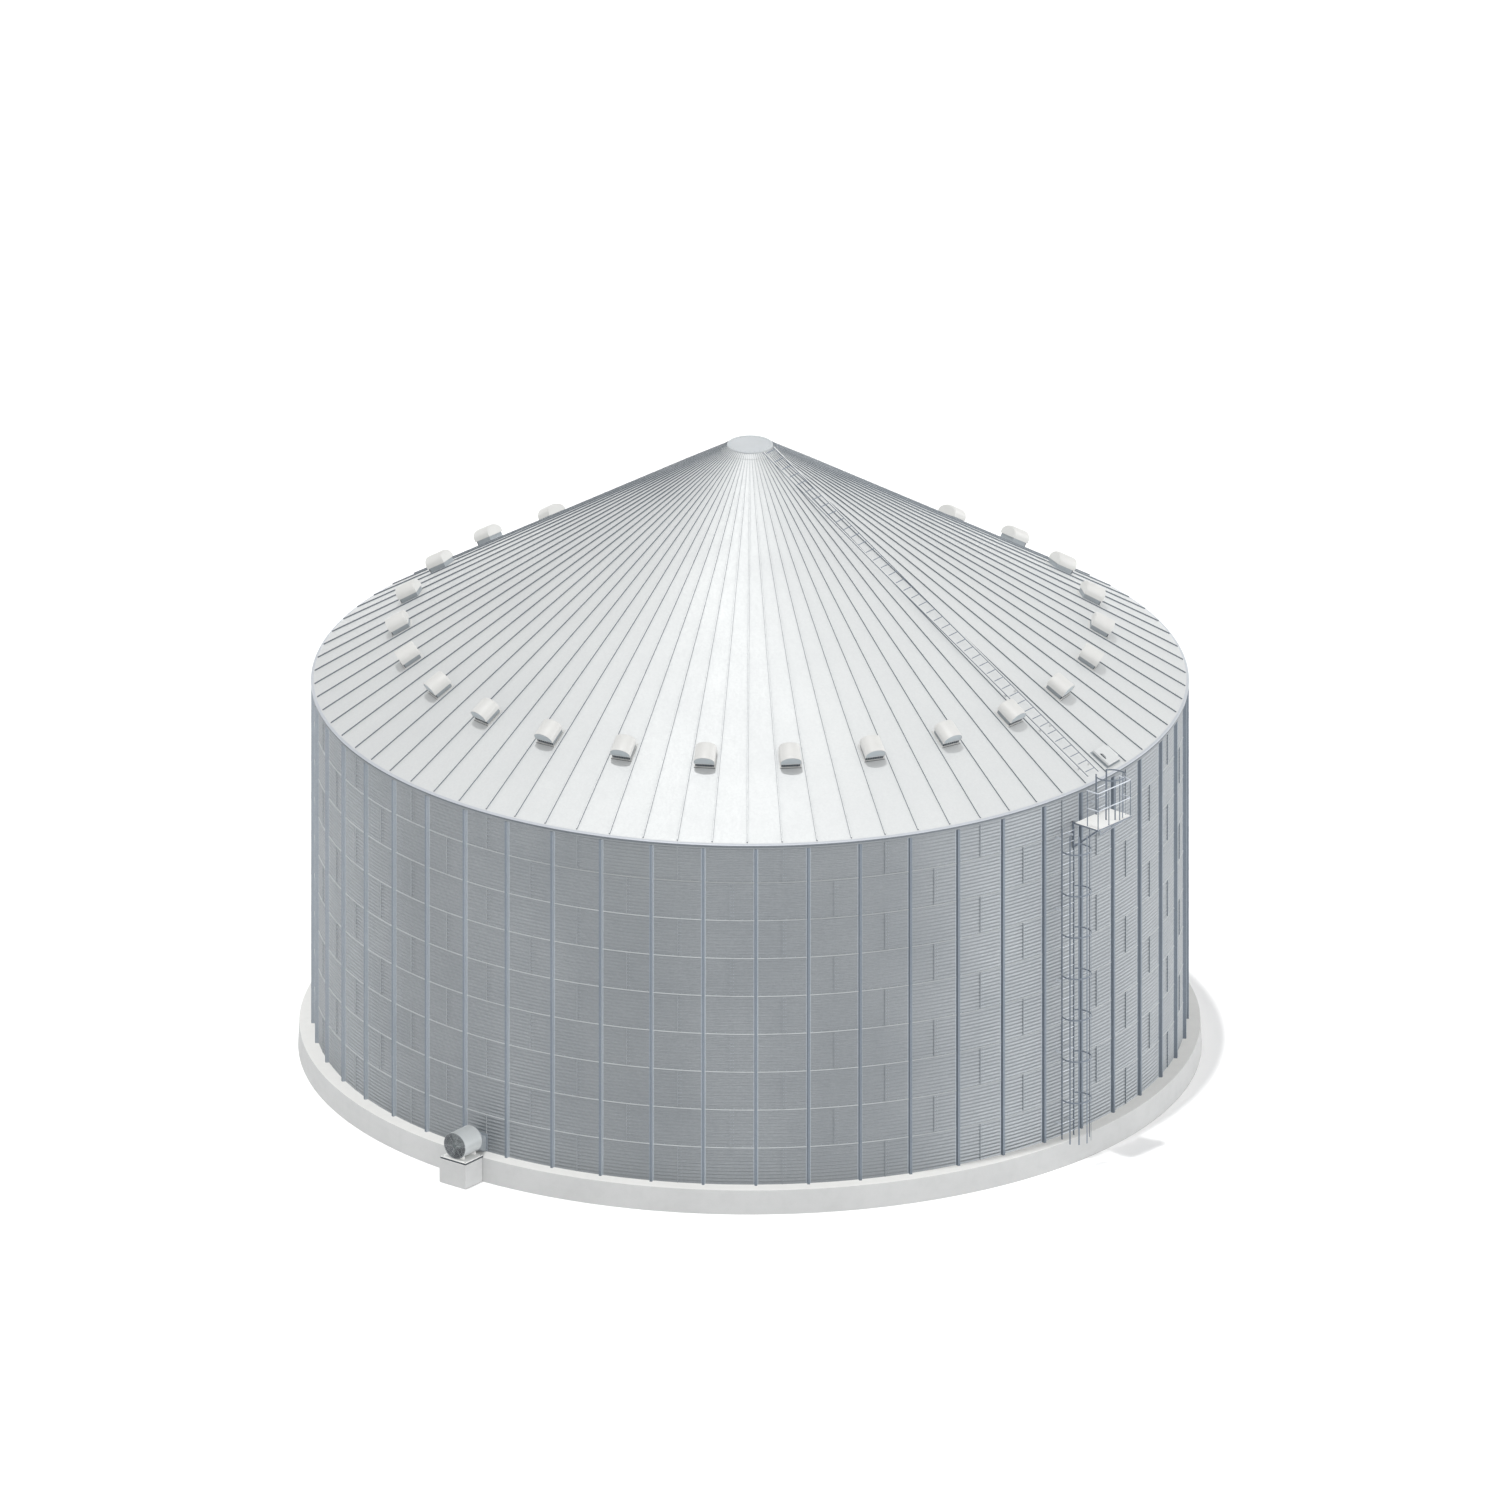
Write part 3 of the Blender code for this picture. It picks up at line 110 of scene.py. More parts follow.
BAY = 360.0 / STIFFENERS
RIB_ANGLE = 360.0 / RIBS
SECTOR = 360.0 / SECTORS
WAVE_PITCH = RING_HEIGHT / WAVES_PER_RING
SHEET_OUTER = SHEET_RADIUS + SHEET_HALF
WALL_FLAT = SHEET_OUTER * math.cos(math.radians(BAY / 6))
WALL_TOP = SLAB_HEIGHT + RING_COUNT * RING_HEIGHT
SHRINK = math.cos(math.radians(RIB_ANGLE / 2))
EAVE_TOP = WALL_TOP + SEAT_GAP + ROOF_THICKNESS - (EAVE_RADIUS - WALL_FLAT / SHRINK) * ROOF_RISE
PAN_SLOPE = math.atan(ROOF_RISE / SHRINK)
DOWN_SLOPE = math.sin(PAN_SLOPE)
OFF_SLOPE = math.cos(PAN_SLOPE)
VENT_FIRST = FIRST_STIFFENER + BAY / 2 + RIB_ANGLE / 2
HATCH_BEARING = VENT_FIRST + 11 * RIB_ANGLE
LOWER_BEARING = FIRST_STIFFENER + 6.5 * BAY
UPPER_BEARING = FIRST_STIFFENER + 7.5 * BAY
DECK_BEARING = FIRST_STIFFENER + 7 * BAY


def roof_top(radius):
    return EAVE_TOP + (EAVE_RADIUS - radius) * ROOF_RISE


def pan_top(radius):
    return roof_top(radius / SHRINK)


def polar(radius, degrees, height):
    angle = math.radians(degrees)
    return Vector((radius * math.sin(angle), -radius * math.cos(angle), height))


def turned_to(degrees):
    return Matrix.Rotation(math.radians(degrees), 4, "Z")


def moved(x, y, z):
    return Matrix.Translation((x, y, z))


def on_roof(radius):
    """Middle of a pan facing -Y: X across, -Y down the slope, Z off the sheet."""
    return moved(0, -radius, pan_top(radius)) @ Matrix.Rotation(PAN_SLOPE, 4, "X")


def facing(x, y, z):
    """Seat for a bolt or a turned body that points along -Y."""
    return moved(x, y, z) @ Matrix.Rotation(math.pi / 2, 4, "X")


def along_fan(distance):
    return facing(0, -distance, FAN_AXIS_Z)


def circle(radius, count, shift=0.0):
    """Points round a circle as pairs, the first one shift steps along."""
    angles = [2 * math.pi * (i + shift) / count for i in range(count)]
    return [(radius * math.cos(a), radius * math.sin(a)) for a in angles]


def placed(name, data):
    item = bpy.data.objects.new(name, data)
    bpy.context.scene.collection.objects.link(item)
    return item


# Gathering meshes

class Shape:
    """Points and faces gathered before they become one piece."""

    def __init__(self):
        self.points = []
        self.faces = []
        self.slots = []

    def add(self, points, faces, slot=0, matrix=None):
        base = len(self.points)
        if matrix is not None:
            points = [matrix @ Vector(p) for p in points]
        self.points.extend([tuple(p) for p in points])
        self.faces.extend([[base + i for i in face] for face in faces])
        self.slots.extend([slot] * len(faces))

    def grid(self, rows, slot=0, matrix=None, wrap=False):
        """Strips between rows of equal length."""
        count = len(rows[0])
        points = [p for row in rows for p in row]
        faces = []
        for r in range(len(rows) - 1):
            for c in range(count if wrap else count - 1):
                d = (c + 1) % count
                faces.append([r * count + c, r * count + d, (r + 1) * count + d, (r + 1) * count + c])
        self.add(points, faces, slot, matrix)

    def cap(self, ring, slot=0, matrix=None):
        """One flat face round a ring."""
        self.add(ring, [list(range(len(ring)))], slot, matrix)

    def loft(self, rings, slot=0, matrix=None):
        """Closed body through rings, capped at both ends."""
        self.grid(rings, slot, matrix, wrap=True)
        self.cap(rings[0], slot, matrix)
        self.cap(rings[-1], slot, matrix)

    def box(self, low, high, slot=0, matrix=None, trim=0.0):
        """Box with its upright and level edges trimmed by a small chamfer."""
        (x0, y0, z0), (x1, y1, z1) = low, high

        def ring(z, inset):
            a, b, c, d = x0 + inset, x1 - inset, y0 + inset, y1 - inset
            if trim <= 0:
                return [(a, c, z), (b, c, z), (b, d, z), (a, d, z)]
            return [
                (a + trim, c, z), (b - trim, c, z), (b, c + trim, z), (b, d - trim, z),
                (b - trim, d, z), (a + trim, d, z), (a, d - trim, z), (a, c + trim, z),
            ]
        levels = [(z0, trim), (z0 + trim, 0), (z1 - trim, 0), (z1, trim)] if trim > 0 else [(z0, 0), (z1, 0)]
        self.loft([ring(z, inset) for z, inset in levels], slot, matrix)

    def stand(self, x, y, half_x, half_y, low, high, slot=0, matrix=None, trim=0.0):
        """Box from low to high round the point x, y."""
        self.box((x - half_x, y - half_y, low), (x + half_x, y + half_y, high), slot, matrix, trim)

    def hub(self, levels, sides, slot, matrix):
        """Closed round body through radius and height pairs."""
        self.loft([[(x, y, z) for x, y in circle(radius, sides)] for radius, z in levels], slot, matrix)

    def tube(self, path, radius, sides=8, slot=0, matrix=None, closed=False):
        """Round bar along a path."""
        path = [Vector(p) for p in path]
        count = len(path)
        rings = []
        normal = None
        for i, point in enumerate(path):
            before = path[(i - 1) % count] if closed or i else point
            after = path[(i + 1) % count] if closed or i < count - 1 else point
            along = (after - before).normalized()
            if normal is None:
                normal = along.orthogonal().normalized()
            normal = (normal - along * normal.dot(along)).normalized()
            side = along.cross(normal)
            rings.append([point + (normal * c + side * s) * radius for c, s in circle(1.0, sides)])
        if closed:
            rings.append(rings[0])
            self.grid(rings, slot, matrix, wrap=True)
        else:
            self.loft(rings, slot, matrix)

    def flat_bar(self, path, width, thickness, up, slot=0, matrix=None):
        """Flat bar along a path; up is the way its width runs."""
        path = [Vector(p) for p in path]
        up = Vector(up)
        rings = []
        for i, point in enumerate(path):
            before = path[max(i - 1, 0)]
            after = path[min(i + 1, len(path) - 1)]
            along = (after - before).normalized()
            side = along.cross(up).normalized() * (thickness / 2)
            lift = up * (width / 2)
            rings.append([point - side - lift, point + side - lift, point + side + lift, point - side + lift])
        self.loft(rings, slot, matrix)

    def turned(self, profile, sides, slot=0, matrix=None):
        """Profile of radius and height pairs turned about Z."""
        rows = [[(r * c, r * s, z) for r, z in profile] for c, s in circle(1.0, sides)]
        self.grid(rows + rows[:1], slot, matrix)

    def bolt(self, matrix, size, height, slot=0):
        """Hexagon bolt head standing on +Z."""
        sunk, shoulder, crown = 0.002, 0.8, 0.82
        corners = circle(size, 6)
        low = [(x, y, -sunk) for x, y in corners]
        mid = [(x, y, height * shoulder) for x, y in corners]
        top = [(x * crown, y * crown, height) for x, y in corners]
        self.grid([low, mid, top], slot, matrix, wrap=True)
        self.cap(top, slot, matrix)

    def build(self, name, materials, smooth, replaces=(), bearing=0.0, weld=0.0, body="silo"):
        """Turn what was gathered into one piece that rides on a body."""
        mesh = bpy.data.meshes.new(name)
        mesh.from_pydata(self.points, [], self.faces)
        mesh.polygons.foreach_set("material_index", self.slots)
        for item in materials:
            mesh.materials.append(item)
        work = bmesh.new()
        work.from_mesh(mesh)
        if weld:
            bmesh.ops.remove_doubles(work, verts=work.verts, dist=weld)
        bmesh.ops.recalc_face_normals(work, faces=work.faces)
        work.to_mesh(mesh)
        work.free()
        if bearing:
            mesh.transform(turned_to(bearing))
        mesh.shade_smooth()
        mesh.set_sharp_from_angle(angle=math.radians(smooth))
        item = placed(name, mesh)
        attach(item, body)
        if replaces:
            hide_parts(*replaces)
        return item


# Materials

def srgb(values):
    """Scene colour from 0-255 display values."""
    return tuple((c / 255.0) ** 2.2 for c in values)


class Finish:
    """Node material built in steps."""

    def __init__(self, name, metallic, roughness):
        self.material = bpy.data.materials.new(name)
        self.material.use_nodes = True
        self.tree = self.material.node_tree
        self.shader = self.tree.nodes["Principled BSDF"]
        self.shader.inputs["Metallic"].default_value = metallic
        self.shader.inputs["Roughness"].default_value = roughness
        self.coords = self.node("ShaderNodeTexCoord").outputs["Object"]

    def node(self, kind, **inputs):
        """New node, with each input set to its value or linked to the output that is given."""
        made = self.tree.nodes.new(kind)
        for key, value in inputs.items():
            socket = made.inputs[key.replace("_", " ")]
            if isinstance(value, bpy.types.NodeSocket):
                self.link(value, socket)
            else:
                socket.default_value = value
        return made

    def link(self, a, b):
        self.tree.links.new(a, b)

    def noise(self, scale, detail=4.0, roughness=0.55, stretch=(1, 1, 1)):
        mapping = self.node("ShaderNodeMapping", Vector=self.coords, Scale=stretch)
        texture = self.node("ShaderNodeTexNoise", Vector=mapping.outputs["Vector"], Scale=scale, Detail=detail,
                            Roughness=roughness)
        return texture.outputs["Fac"]

    def cells(self, scale):
        texture = self.node("ShaderNodeTexVoronoi", Vector=self.coords, Scale=scale)
        return self.node("ShaderNodeSeparateColor", Color=texture.outputs["Color"]).outputs["Red"]

    def ramp(self, source, low, high, most, least=0.0):
        """Grey that goes from least, where the source is at low, to most, where it is at high."""
        made = self.node("ShaderNodeValToRGB", Fac=source)
        for point, place, grey in zip(made.color_ramp.elements, (low, high), (least, most)):
            point.position = place
            point.color = (grey, grey, grey, 1.0)
        return made.outputs["Color"]

    def mix(self, a, b, factor):
        made = self.node("ShaderNodeMix")
        made.data_type = "RGBA"
        sockets = {s.identifier: s for s in made.inputs}
        self.link(factor, sockets["Factor_Float"])
        for key, value in (("A_Color", a), ("B_Color", b)):
            if isinstance(value, tuple):
                sockets[key].default_value = (*srgb(value), 1.0)
            else:
                self.link(value, sockets[key])
        return {s.identifier: s for s in made.outputs}["Result_Color"]

    def blend(self, a, b, share):
        """Two values added, the first one weighted by its share and the second by the rest."""
        total = self.node("ShaderNodeMath")
        for i, (value, weight) in enumerate(((a, share), (b, 1.0 - share))):
            part = self.node("ShaderNodeMath")
            part.operation = "MULTIPLY"
            self.link(value, part.inputs[0])
            part.inputs[1].default_value = weight
            self.link(part.outputs["Value"], total.inputs[i])
        return total.outputs["Value"]

    def coat(self, base, *stains):
        """Base colour under stains, each one a tint, its source and what its ramp takes."""
        for tint, *ramp in stains:
            base = self.mix(base, tint, self.ramp(*ramp))
        self.link(base, self.shader.inputs["Base Color"])

    def rough(self, source, low, high):
        made = self.node("ShaderNodeMapRange", Value=source, To_Min=low, To_Max=high)
        self.link(made.outputs["Result"], self.shader.inputs["Roughness"])

    def bump(self, source, distance, strength):
        made = self.node("ShaderNodeBump", Height=source, Distance=distance, Strength=strength)
        self.link(made.outputs["Normal"], self.shader.inputs["Normal"])


def galvanised(name, light, dark, metallic, rough, spangle=28.0):
    """Zinc coat: crystal spangle, soft clouding and faint run marks down the sheet."""
    made = Finish(name, metallic, rough[0])
    crystal = made.cells(spangle)
    fine = made.cells(spangle * 2.7)
    cloud = made.noise(0.45, 3.0)
    runs = made.noise(2.2, 5.0, 0.6, (1.0, 1.0, 0.12))
    made.coat(light, (dark, crystal, 0.0, 1.0, 0.34), (dark, fine, 0.3, 1.0, 0.16),
              (dark, cloud, 0.35, 0.75, 0.45), (light, runs, 0.5, 0.8, 0.35))
    made.rough(made.blend(crystal, cloud, 0.5), *rough)
    made.bump(fine, 0.0004, 0.25)
    return made.material


def concrete(name, light, dark):
    """Cast concrete: broad clouding, mottling, fine pores and faint pour lines."""
    made = Finish(name, 0.0, 0.9)
    broad = made.noise(0.35, 4.0)
    medium = made.noise(3.0, 6.0, 0.65)
    pores = made.noise(38.0, 3.0, 0.7)
    pour = made.noise(1.4, 3.0, 0.5, (0.12, 0.12, 5.0))
    made.coat(light, (dark, broad, 0.35, 0.7, 0.45), (dark, medium, 0.45, 0.75, 0.4),
              (dark, pores, 0.60, 0.72, 0.5), (light, pour, 0.5, 0.7, 0.3))
    made.rough(medium, 0.82, 0.97)
    made.bump(made.blend(medium, pores, 0.6), 0.004, 0.5)
    return made.material


def painted(name, light, dark, rough, metallic=0.0):
    """Coat of paint with orange peel, faint dust and duller patches."""
    made = Finish(name, metallic, rough[0])
    dust = made.noise(2.6, 5.0, 0.6)
    peel = made.noise(160.0, 2.0)
    specks = made.noise(46.0, 3.0, 0.7)
    made.coat(light, (dark, dust, 0.4, 0.75, 0.5), (dark, specks, 0.62, 0.74, 0.35))
    made.rough(dust, *rough)
    made.bump(peel, 0.0003, 0.2)
    return made.material


WALL = galvanised("wall_zinc", (136, 140, 143), (121, 126, 130), 0.6, (0.42, 0.55))
# Lighter seam zinc for seam beads, bolts and wire: partly the zinc's own tone, partly a painted highlight along
# the wall's joints, and painted light on the laps' right sides.
SEAM_ZINC_AND_LIGHT = galvanised("seam_zinc_and_painted_light", (164, 168, 170), (150, 154, 157), 0.3, (0.44, 0.6))
# Stiffener zinc, darker than the wall partly as painted shade; it is also the painted shade on the laps' left
# sides.
STIFFENER_ZINC_AND_SHADE = galvanised("stiffener_zinc_and_painted_shade", (119, 127, 136), (105, 113, 122), 0.7, (0.40, 0.52))
# Flange zinc for flanges and bolts; on the stiffeners' right sides it is painted light.
FLANGE_ZINC_AND_LIGHT = galvanised("flange_zinc_and_painted_light", (152, 159, 166), (138, 145, 152), 0.5, (0.42, 0.55))
ROOF = galvanised("roof_zinc", (193, 195, 195), (183, 185, 186), 0.3, (0.5, 0.62), 22.0)
# Darker zinc for the steep sides of the roof's ribs: painted shade.
RIB_SIDE_SHADE = galvanised("rib_side_painted_shade", (112, 118, 124), (94, 101, 107), 0.25, (0.5, 0.65), 22.0)
LIP = galvanised("eave_zinc", (178, 182, 188), (166, 170, 176), 0.3, (0.46, 0.58))
CAP = painted("cap_coat", (174, 178, 181), (165, 169, 172), (0.5, 0.65), 0.1)
VENT = painted("vent_coat", (192, 192, 190), (184, 184, 182), (0.5, 0.65), 0.1)
# Grey for the vents' front faces: painted shade on a copy of the hood's coat.
VENT_FRONT_SHADE = painted("vent_front_painted_shade", (162, 169, 173), (150, 157, 162), (0.5, 0.65), 0.1)
# Darker zinc: painted shade on the vent risers under their hoods; the hatch curb and the fan duct take it as
# their grey.
RISER_ZINC_AND_SHADE = galvanised("riser_zinc_and_painted_shade", (146, 152, 156), (130, 136, 141), 0.35, (0.46, 0.62), 40.0)
# Near-black for screens and gaps: painted shade.
SHADE = painted("painted_shade_dark", (60, 66, 72), (42, 47, 52), (0.6, 0.8), 0.1)
# One bar zinc in two tones: the lighter is painted light on rails, rungs and a bracket, and the darker is
# painted shade on stiles, posts, cages, rungs and edges.
RAIL_PAINTED_LIGHT = galvanised("rail_zinc_painted_light", (192, 197, 204), (176, 182, 190), 0.3, (0.42, 0.56), 60.0)
BAR_PAINTED_SHADE = galvanised("bar_zinc_painted_shade", (114, 122, 132), (96, 104, 115), 0.35, (0.42, 0.56), 60.0)
DECK = painted("deck_coat", (222, 222, 220), (212, 212, 210), (0.55, 0.7))
CAST = painted("machine_coat", (92, 100, 101), (72, 80, 82), (0.35, 0.5), 0.2)
DRUM = painted("fan_coat", (182, 186, 187), (170, 174, 175), (0.3, 0.45), 0.25)
STONE = concrete("cast_concrete", (180, 181, 181), (165, 166, 166))
# Lighter concrete for the tops of the slab and plinth: painted light from above on the same concrete.
SLAB_TOP_LIGHT = concrete("slab_top_painted_light", (214, 214, 212), (202, 202, 200))


# Slab and plinth

def build_slab():
    sides = 4 * RIBS
    foot, batter, edge = 0.006, 0.03, 0.02
    profile = [
        (0.0, 0.0), (SLAB_RADIUS - foot, 0.0), (SLAB_RADIUS, foot),
        (SLAB_RADIUS - batter, SLAB_HEIGHT - edge),
        (SLAB_RADIUS - batter - edge * 0.3, SLAB_HEIGHT - edge * 0.3),
        (SLAB_RADIUS - batter - edge, SLAB_HEIGHT), (0.0, SLAB_HEIGHT),
    ]
    shape = Shape()
    shape.turned(profile[:5], sides)
    # The slab's top takes the lighter concrete, as painted light from above.
    shape.turned(profile[4:], sides, 1)
    shape.build("slab_cast", [STONE, SLAB_TOP_LIGHT], 30, ["foundation_slab"], weld=0.0001)

    half = PLINTH_WIDTH / 2
    slab_corner, painted_top_depth, inset = 12.354, 0.008, 0.014
    inner = slab_corner * math.cos(math.pi / RIBS) + SEAT_GAP
    shape = Shape()
    shape.box((-half, -PLINTH_OUTER, 0.0), (half, -inner, SLAB_HEIGHT - painted_top_depth / 2), trim=0.012)
    # The plinth's top takes the lighter concrete, as painted light from above.
    shape.box((-half + inset, -PLINTH_OUTER + inset, SLAB_HEIGHT - painted_top_depth),
              (half - inset, -inner - inset, SLAB_HEIGHT), 1)
    shape.build("plinth_cast", [STONE, SLAB_TOP_LIGHT], 30, ["fan_plinth"], FAN_BEARING, 0.00005)


# Wall

def wave(height):
    """How far the sheet stands out at a height above its ring's foot."""
    return WAVE_DEPTH * math.cos(2 * math.pi * height / WAVE_PITCH)


def build_wall():
    columns = 16
    bolt_count = 24
    lean = 0.001
    for s in range(SECTORS):
        start = FIRST_STIFFENER + BAY / 2 + SECTOR * s
        bearings = [start + SECTOR * c / columns for c in range(columns + 1)]
        sheets = Shape()
        details = Shape()
        for ring in range(RING_COUNT):
            foot = WALL_TOP - RING_HEIGHT * (ring + 1)
            rows = []
            for row in range(WAVE_STEPS + 1):
                height = RING_HEIGHT * row / WAVE_STEPS
                radius = SHEET_RADIUS + wave(height) + lean * (1 - row / WAVE_STEPS)
                rows.append([polar(radius, b, foot + height) for b in bearings])
            sheets.grid(rows)
            lowest = ring == RING_COUNT - 1
            if not lowest:
                seam_mesh(sheets, bearings, foot - SEAM_DROP)
            for k in range(4):
                if (4 * s + k + ring) % 2 == 0:
                    lap_mesh(sheets, details, start + BAY * k, foot)
            if not lowest:
                for i in range(bolt_count):
                    bearing = start + SECTOR / bolt_count * (i + 0.5)
                    place_bolt(details, SHEET_RADIUS + 0.005, bearing, foot - 0.004)
        name = f"{s + 1:02d}"
        replaced = ["wall_sector_" + name] + (["wall_port_ring"] if s == FAN_SECTOR else [])
        sheets.build("wall_sheets_" + name, [WALL, SEAM_ZINC_AND_LIGHT, STIFFENER_ZINC_AND_SHADE], 50, replaced, weld=0.00005)
        posts = Shape()
        for k in range(4):
            post_mesh(posts, start + BAY * (k + 0.5))
        stiffeners = posts.build("wall_stiffeners_" + name, [STIFFENER_ZINC_AND_SHADE, FLANGE_ZINC_AND_LIGHT], 25, replaced)
        # The photo's wall isn't darkened beside its stiffeners.
        stiffeners.visible_diffuse = False
        stiffeners.visible_glossy = False
        stiffeners.visible_shadow = False
        details.build("wall_bolts_" + name, [FLANGE_ZINC_AND_LIGHT], 25)


def place_bolt(shape, radius, bearing, height):
    shape.bolt(turned_to(bearing) @ facing(0, -radius, height), 0.011, 0.009)


def seam_mesh(shape, bearings, height):
    """Edge of the upper sheet over the lower one at a ring joint."""
    # The bead takes the lighter seam zinc, partly as a painted highlight along the joint.
    base = SHEET_RADIUS + WAVE_DEPTH - 0.004
    outline = [(-0.014, 0.0), (-0.013, 0.020), (-0.009, 0.0215), (0.013, 0.002), (0.015, 0.0)]
    shape.grid([[polar(base + out, b, height + up) for b in bearings] for up, out in outline], 1)


def lap_mesh(sheets, details, bearing, foot):
    """Upright lap between two sheets of one ring: the doubled sheet, an edge bead and the bolts."""
    degrees = math.degrees(1.0 / SHEET_RADIUS)
    width = 0.13
    rows = []
    for row in range(WAVE_STEPS + 1):
        height = RING_HEIGHT * row / WAVE_STEPS
        radius = SHEET_RADIUS + wave(height) + 0.0032
        spots = [(0.0, radius), (width * 0.5, radius), (width, radius), (width + 0.001, radius - 0.004)]
        rows.append([polar(r, bearing + x * degrees, foot + height) for x, r in spots])
    sheets.grid(rows)
    low_left, high_left, high_right, low_right = (-0.012, 0.0), (-0.011, 0.024), (0.011, 0.024), (0.012, 0.0)
    # The bead's left side takes the darker stiffener zinc and its right side the lighter seam zinc: painted
    # shade and painted light, as for a light from the right. Its front takes the wall zinc.
    for edge, slot in (((low_left, high_left), 2), ((high_left, high_right), 0), ((high_right, low_right), 1)):
        rows = []
        for across, out in edge:
            radius = SHEET_RADIUS + 0.001 + out
            place = bearing + across * degrees
            rows.append([polar(radius, place, foot + z) for z in (-0.01, RING_HEIGHT - 0.055)])
        sheets.grid(rows, slot)
    for i in range(1, WAVES_PER_RING):
        for across in (0.040, 0.100):
            place = bearing + across * degrees
            place_bolt(details, SHEET_RADIUS + WAVE_DEPTH + 0.001, place, foot + WAVE_PITCH * i)


def post_mesh(shape, bearing):
    """Folded hat stiffener in ring-high lengths with bolted splices."""
    inner = SHEET_OUTER - 0.003
    outer = SHEET_OUTER + STIFFENER_DEPTH
    matrix = turned_to(bearing)
    for ring in range(RING_COUNT):
        top_ring = ring == RING_COUNT - 1
        low = SLAB_HEIGHT + RING_HEIGHT * ring
        high = EAVE_TOP - 0.106 if top_ring else low + RING_HEIGHT
        # Every other length stands 2 mm further out, over its neighbours.
        grow = 0.0 if ring % 2 else 0.002
        foot = inner + 0.004 + grow
        hat = [
            (-0.044, foot), (-0.041, foot + 0.006), (-0.037, outer - 0.008 + grow), (-0.033, outer - 0.002),
            (0.033, outer - 0.002), (0.037, outer - 0.008 + grow), (0.041, foot + 0.006), (0.044, foot),
        ]
        left = [(-0.066, foot), hat[0]]
        right = [hat[-1], (0.066, foot)]
        # The left side and face take the stiffener zinc; the right side takes the lighter flange zinc as
        # painted light from the right, and the flanges take the flange zinc.
        for outline, slot in ((left, 1), (hat[:5], 0), (hat[4:], 1), (right, 1)):
            shape.grid([[(x, -y, z) for x, y in outline] for z in (low, high)], slot, matrix)
        if ring == 0 or top_ring:
            shape.cap([(x, -y, high if ring else low) for x, y in hat], 0, matrix)
        if ring:
            shape.box((-0.030, -outer, low - 0.09), (0.030, -outer + 0.006, low + 0.09), 0, matrix, 0.002)
            for x in (-0.018, 0.018):
                for z in (low - 0.055, low + 0.055):
                    shape.bolt(matrix @ facing(x, -outer + 0.002, z), 0.008, 0.001, 1)
        for i in range(5):
            for x in (-0.055, 0.055):
                shape.bolt(matrix @ facing(x, -foot, low + RING_HEIGHT * (i + 0.5) / 5), 0.009, 0.008, 1)


# Roof

def rib_outline(scale):
    """Folded rib as across and height pairs: two steep sides and a flat crest."""
    half = RIB_HALF * scale
    high = RIB_HEIGHT * scale
    return [
        (-half, 0.0), (-half + 0.0015, high - 0.003), (-half + 0.004, high),
        (half - 0.004, high), (half - 0.0015, high - 0.003), (half, 0.0),
    ]


def build_roof():
    hatch_sector = 2
    for s in range(SECTORS):
        bearing = HATCH_BEARING + SECTOR * (s - hatch_sector)
        name = f"{s + 1:02d}"
        node = ["roof_sector_" + name]
        shape = Shape()
        for i in range(6):
            pan_mesh(shape, turned_to(-SECTOR / 2 + RIB_ANGLE * (i + 0.5)))
        shape.build("roof_panels_" + name, [ROOF, RIB_SIDE_SHADE, LIP, SEAM_ZINC_AND_LIGHT, WALL], 28, node, bearing,
                    0.00005)
        vents = Shape()
        for shift in (-2 * RIB_ANGLE, RIB_ANGLE):
            vent_mesh(vents, turned_to(shift) @ on_roof(VENT_RADIUS))
        vents.build("roof_vents_" + name, [VENT, SHADE, SEAM_ZINC_AND_LIGHT, VENT_FRONT_SHADE, RISER_ZINC_AND_SHADE], 30, node, bearing,
                    0.00005)


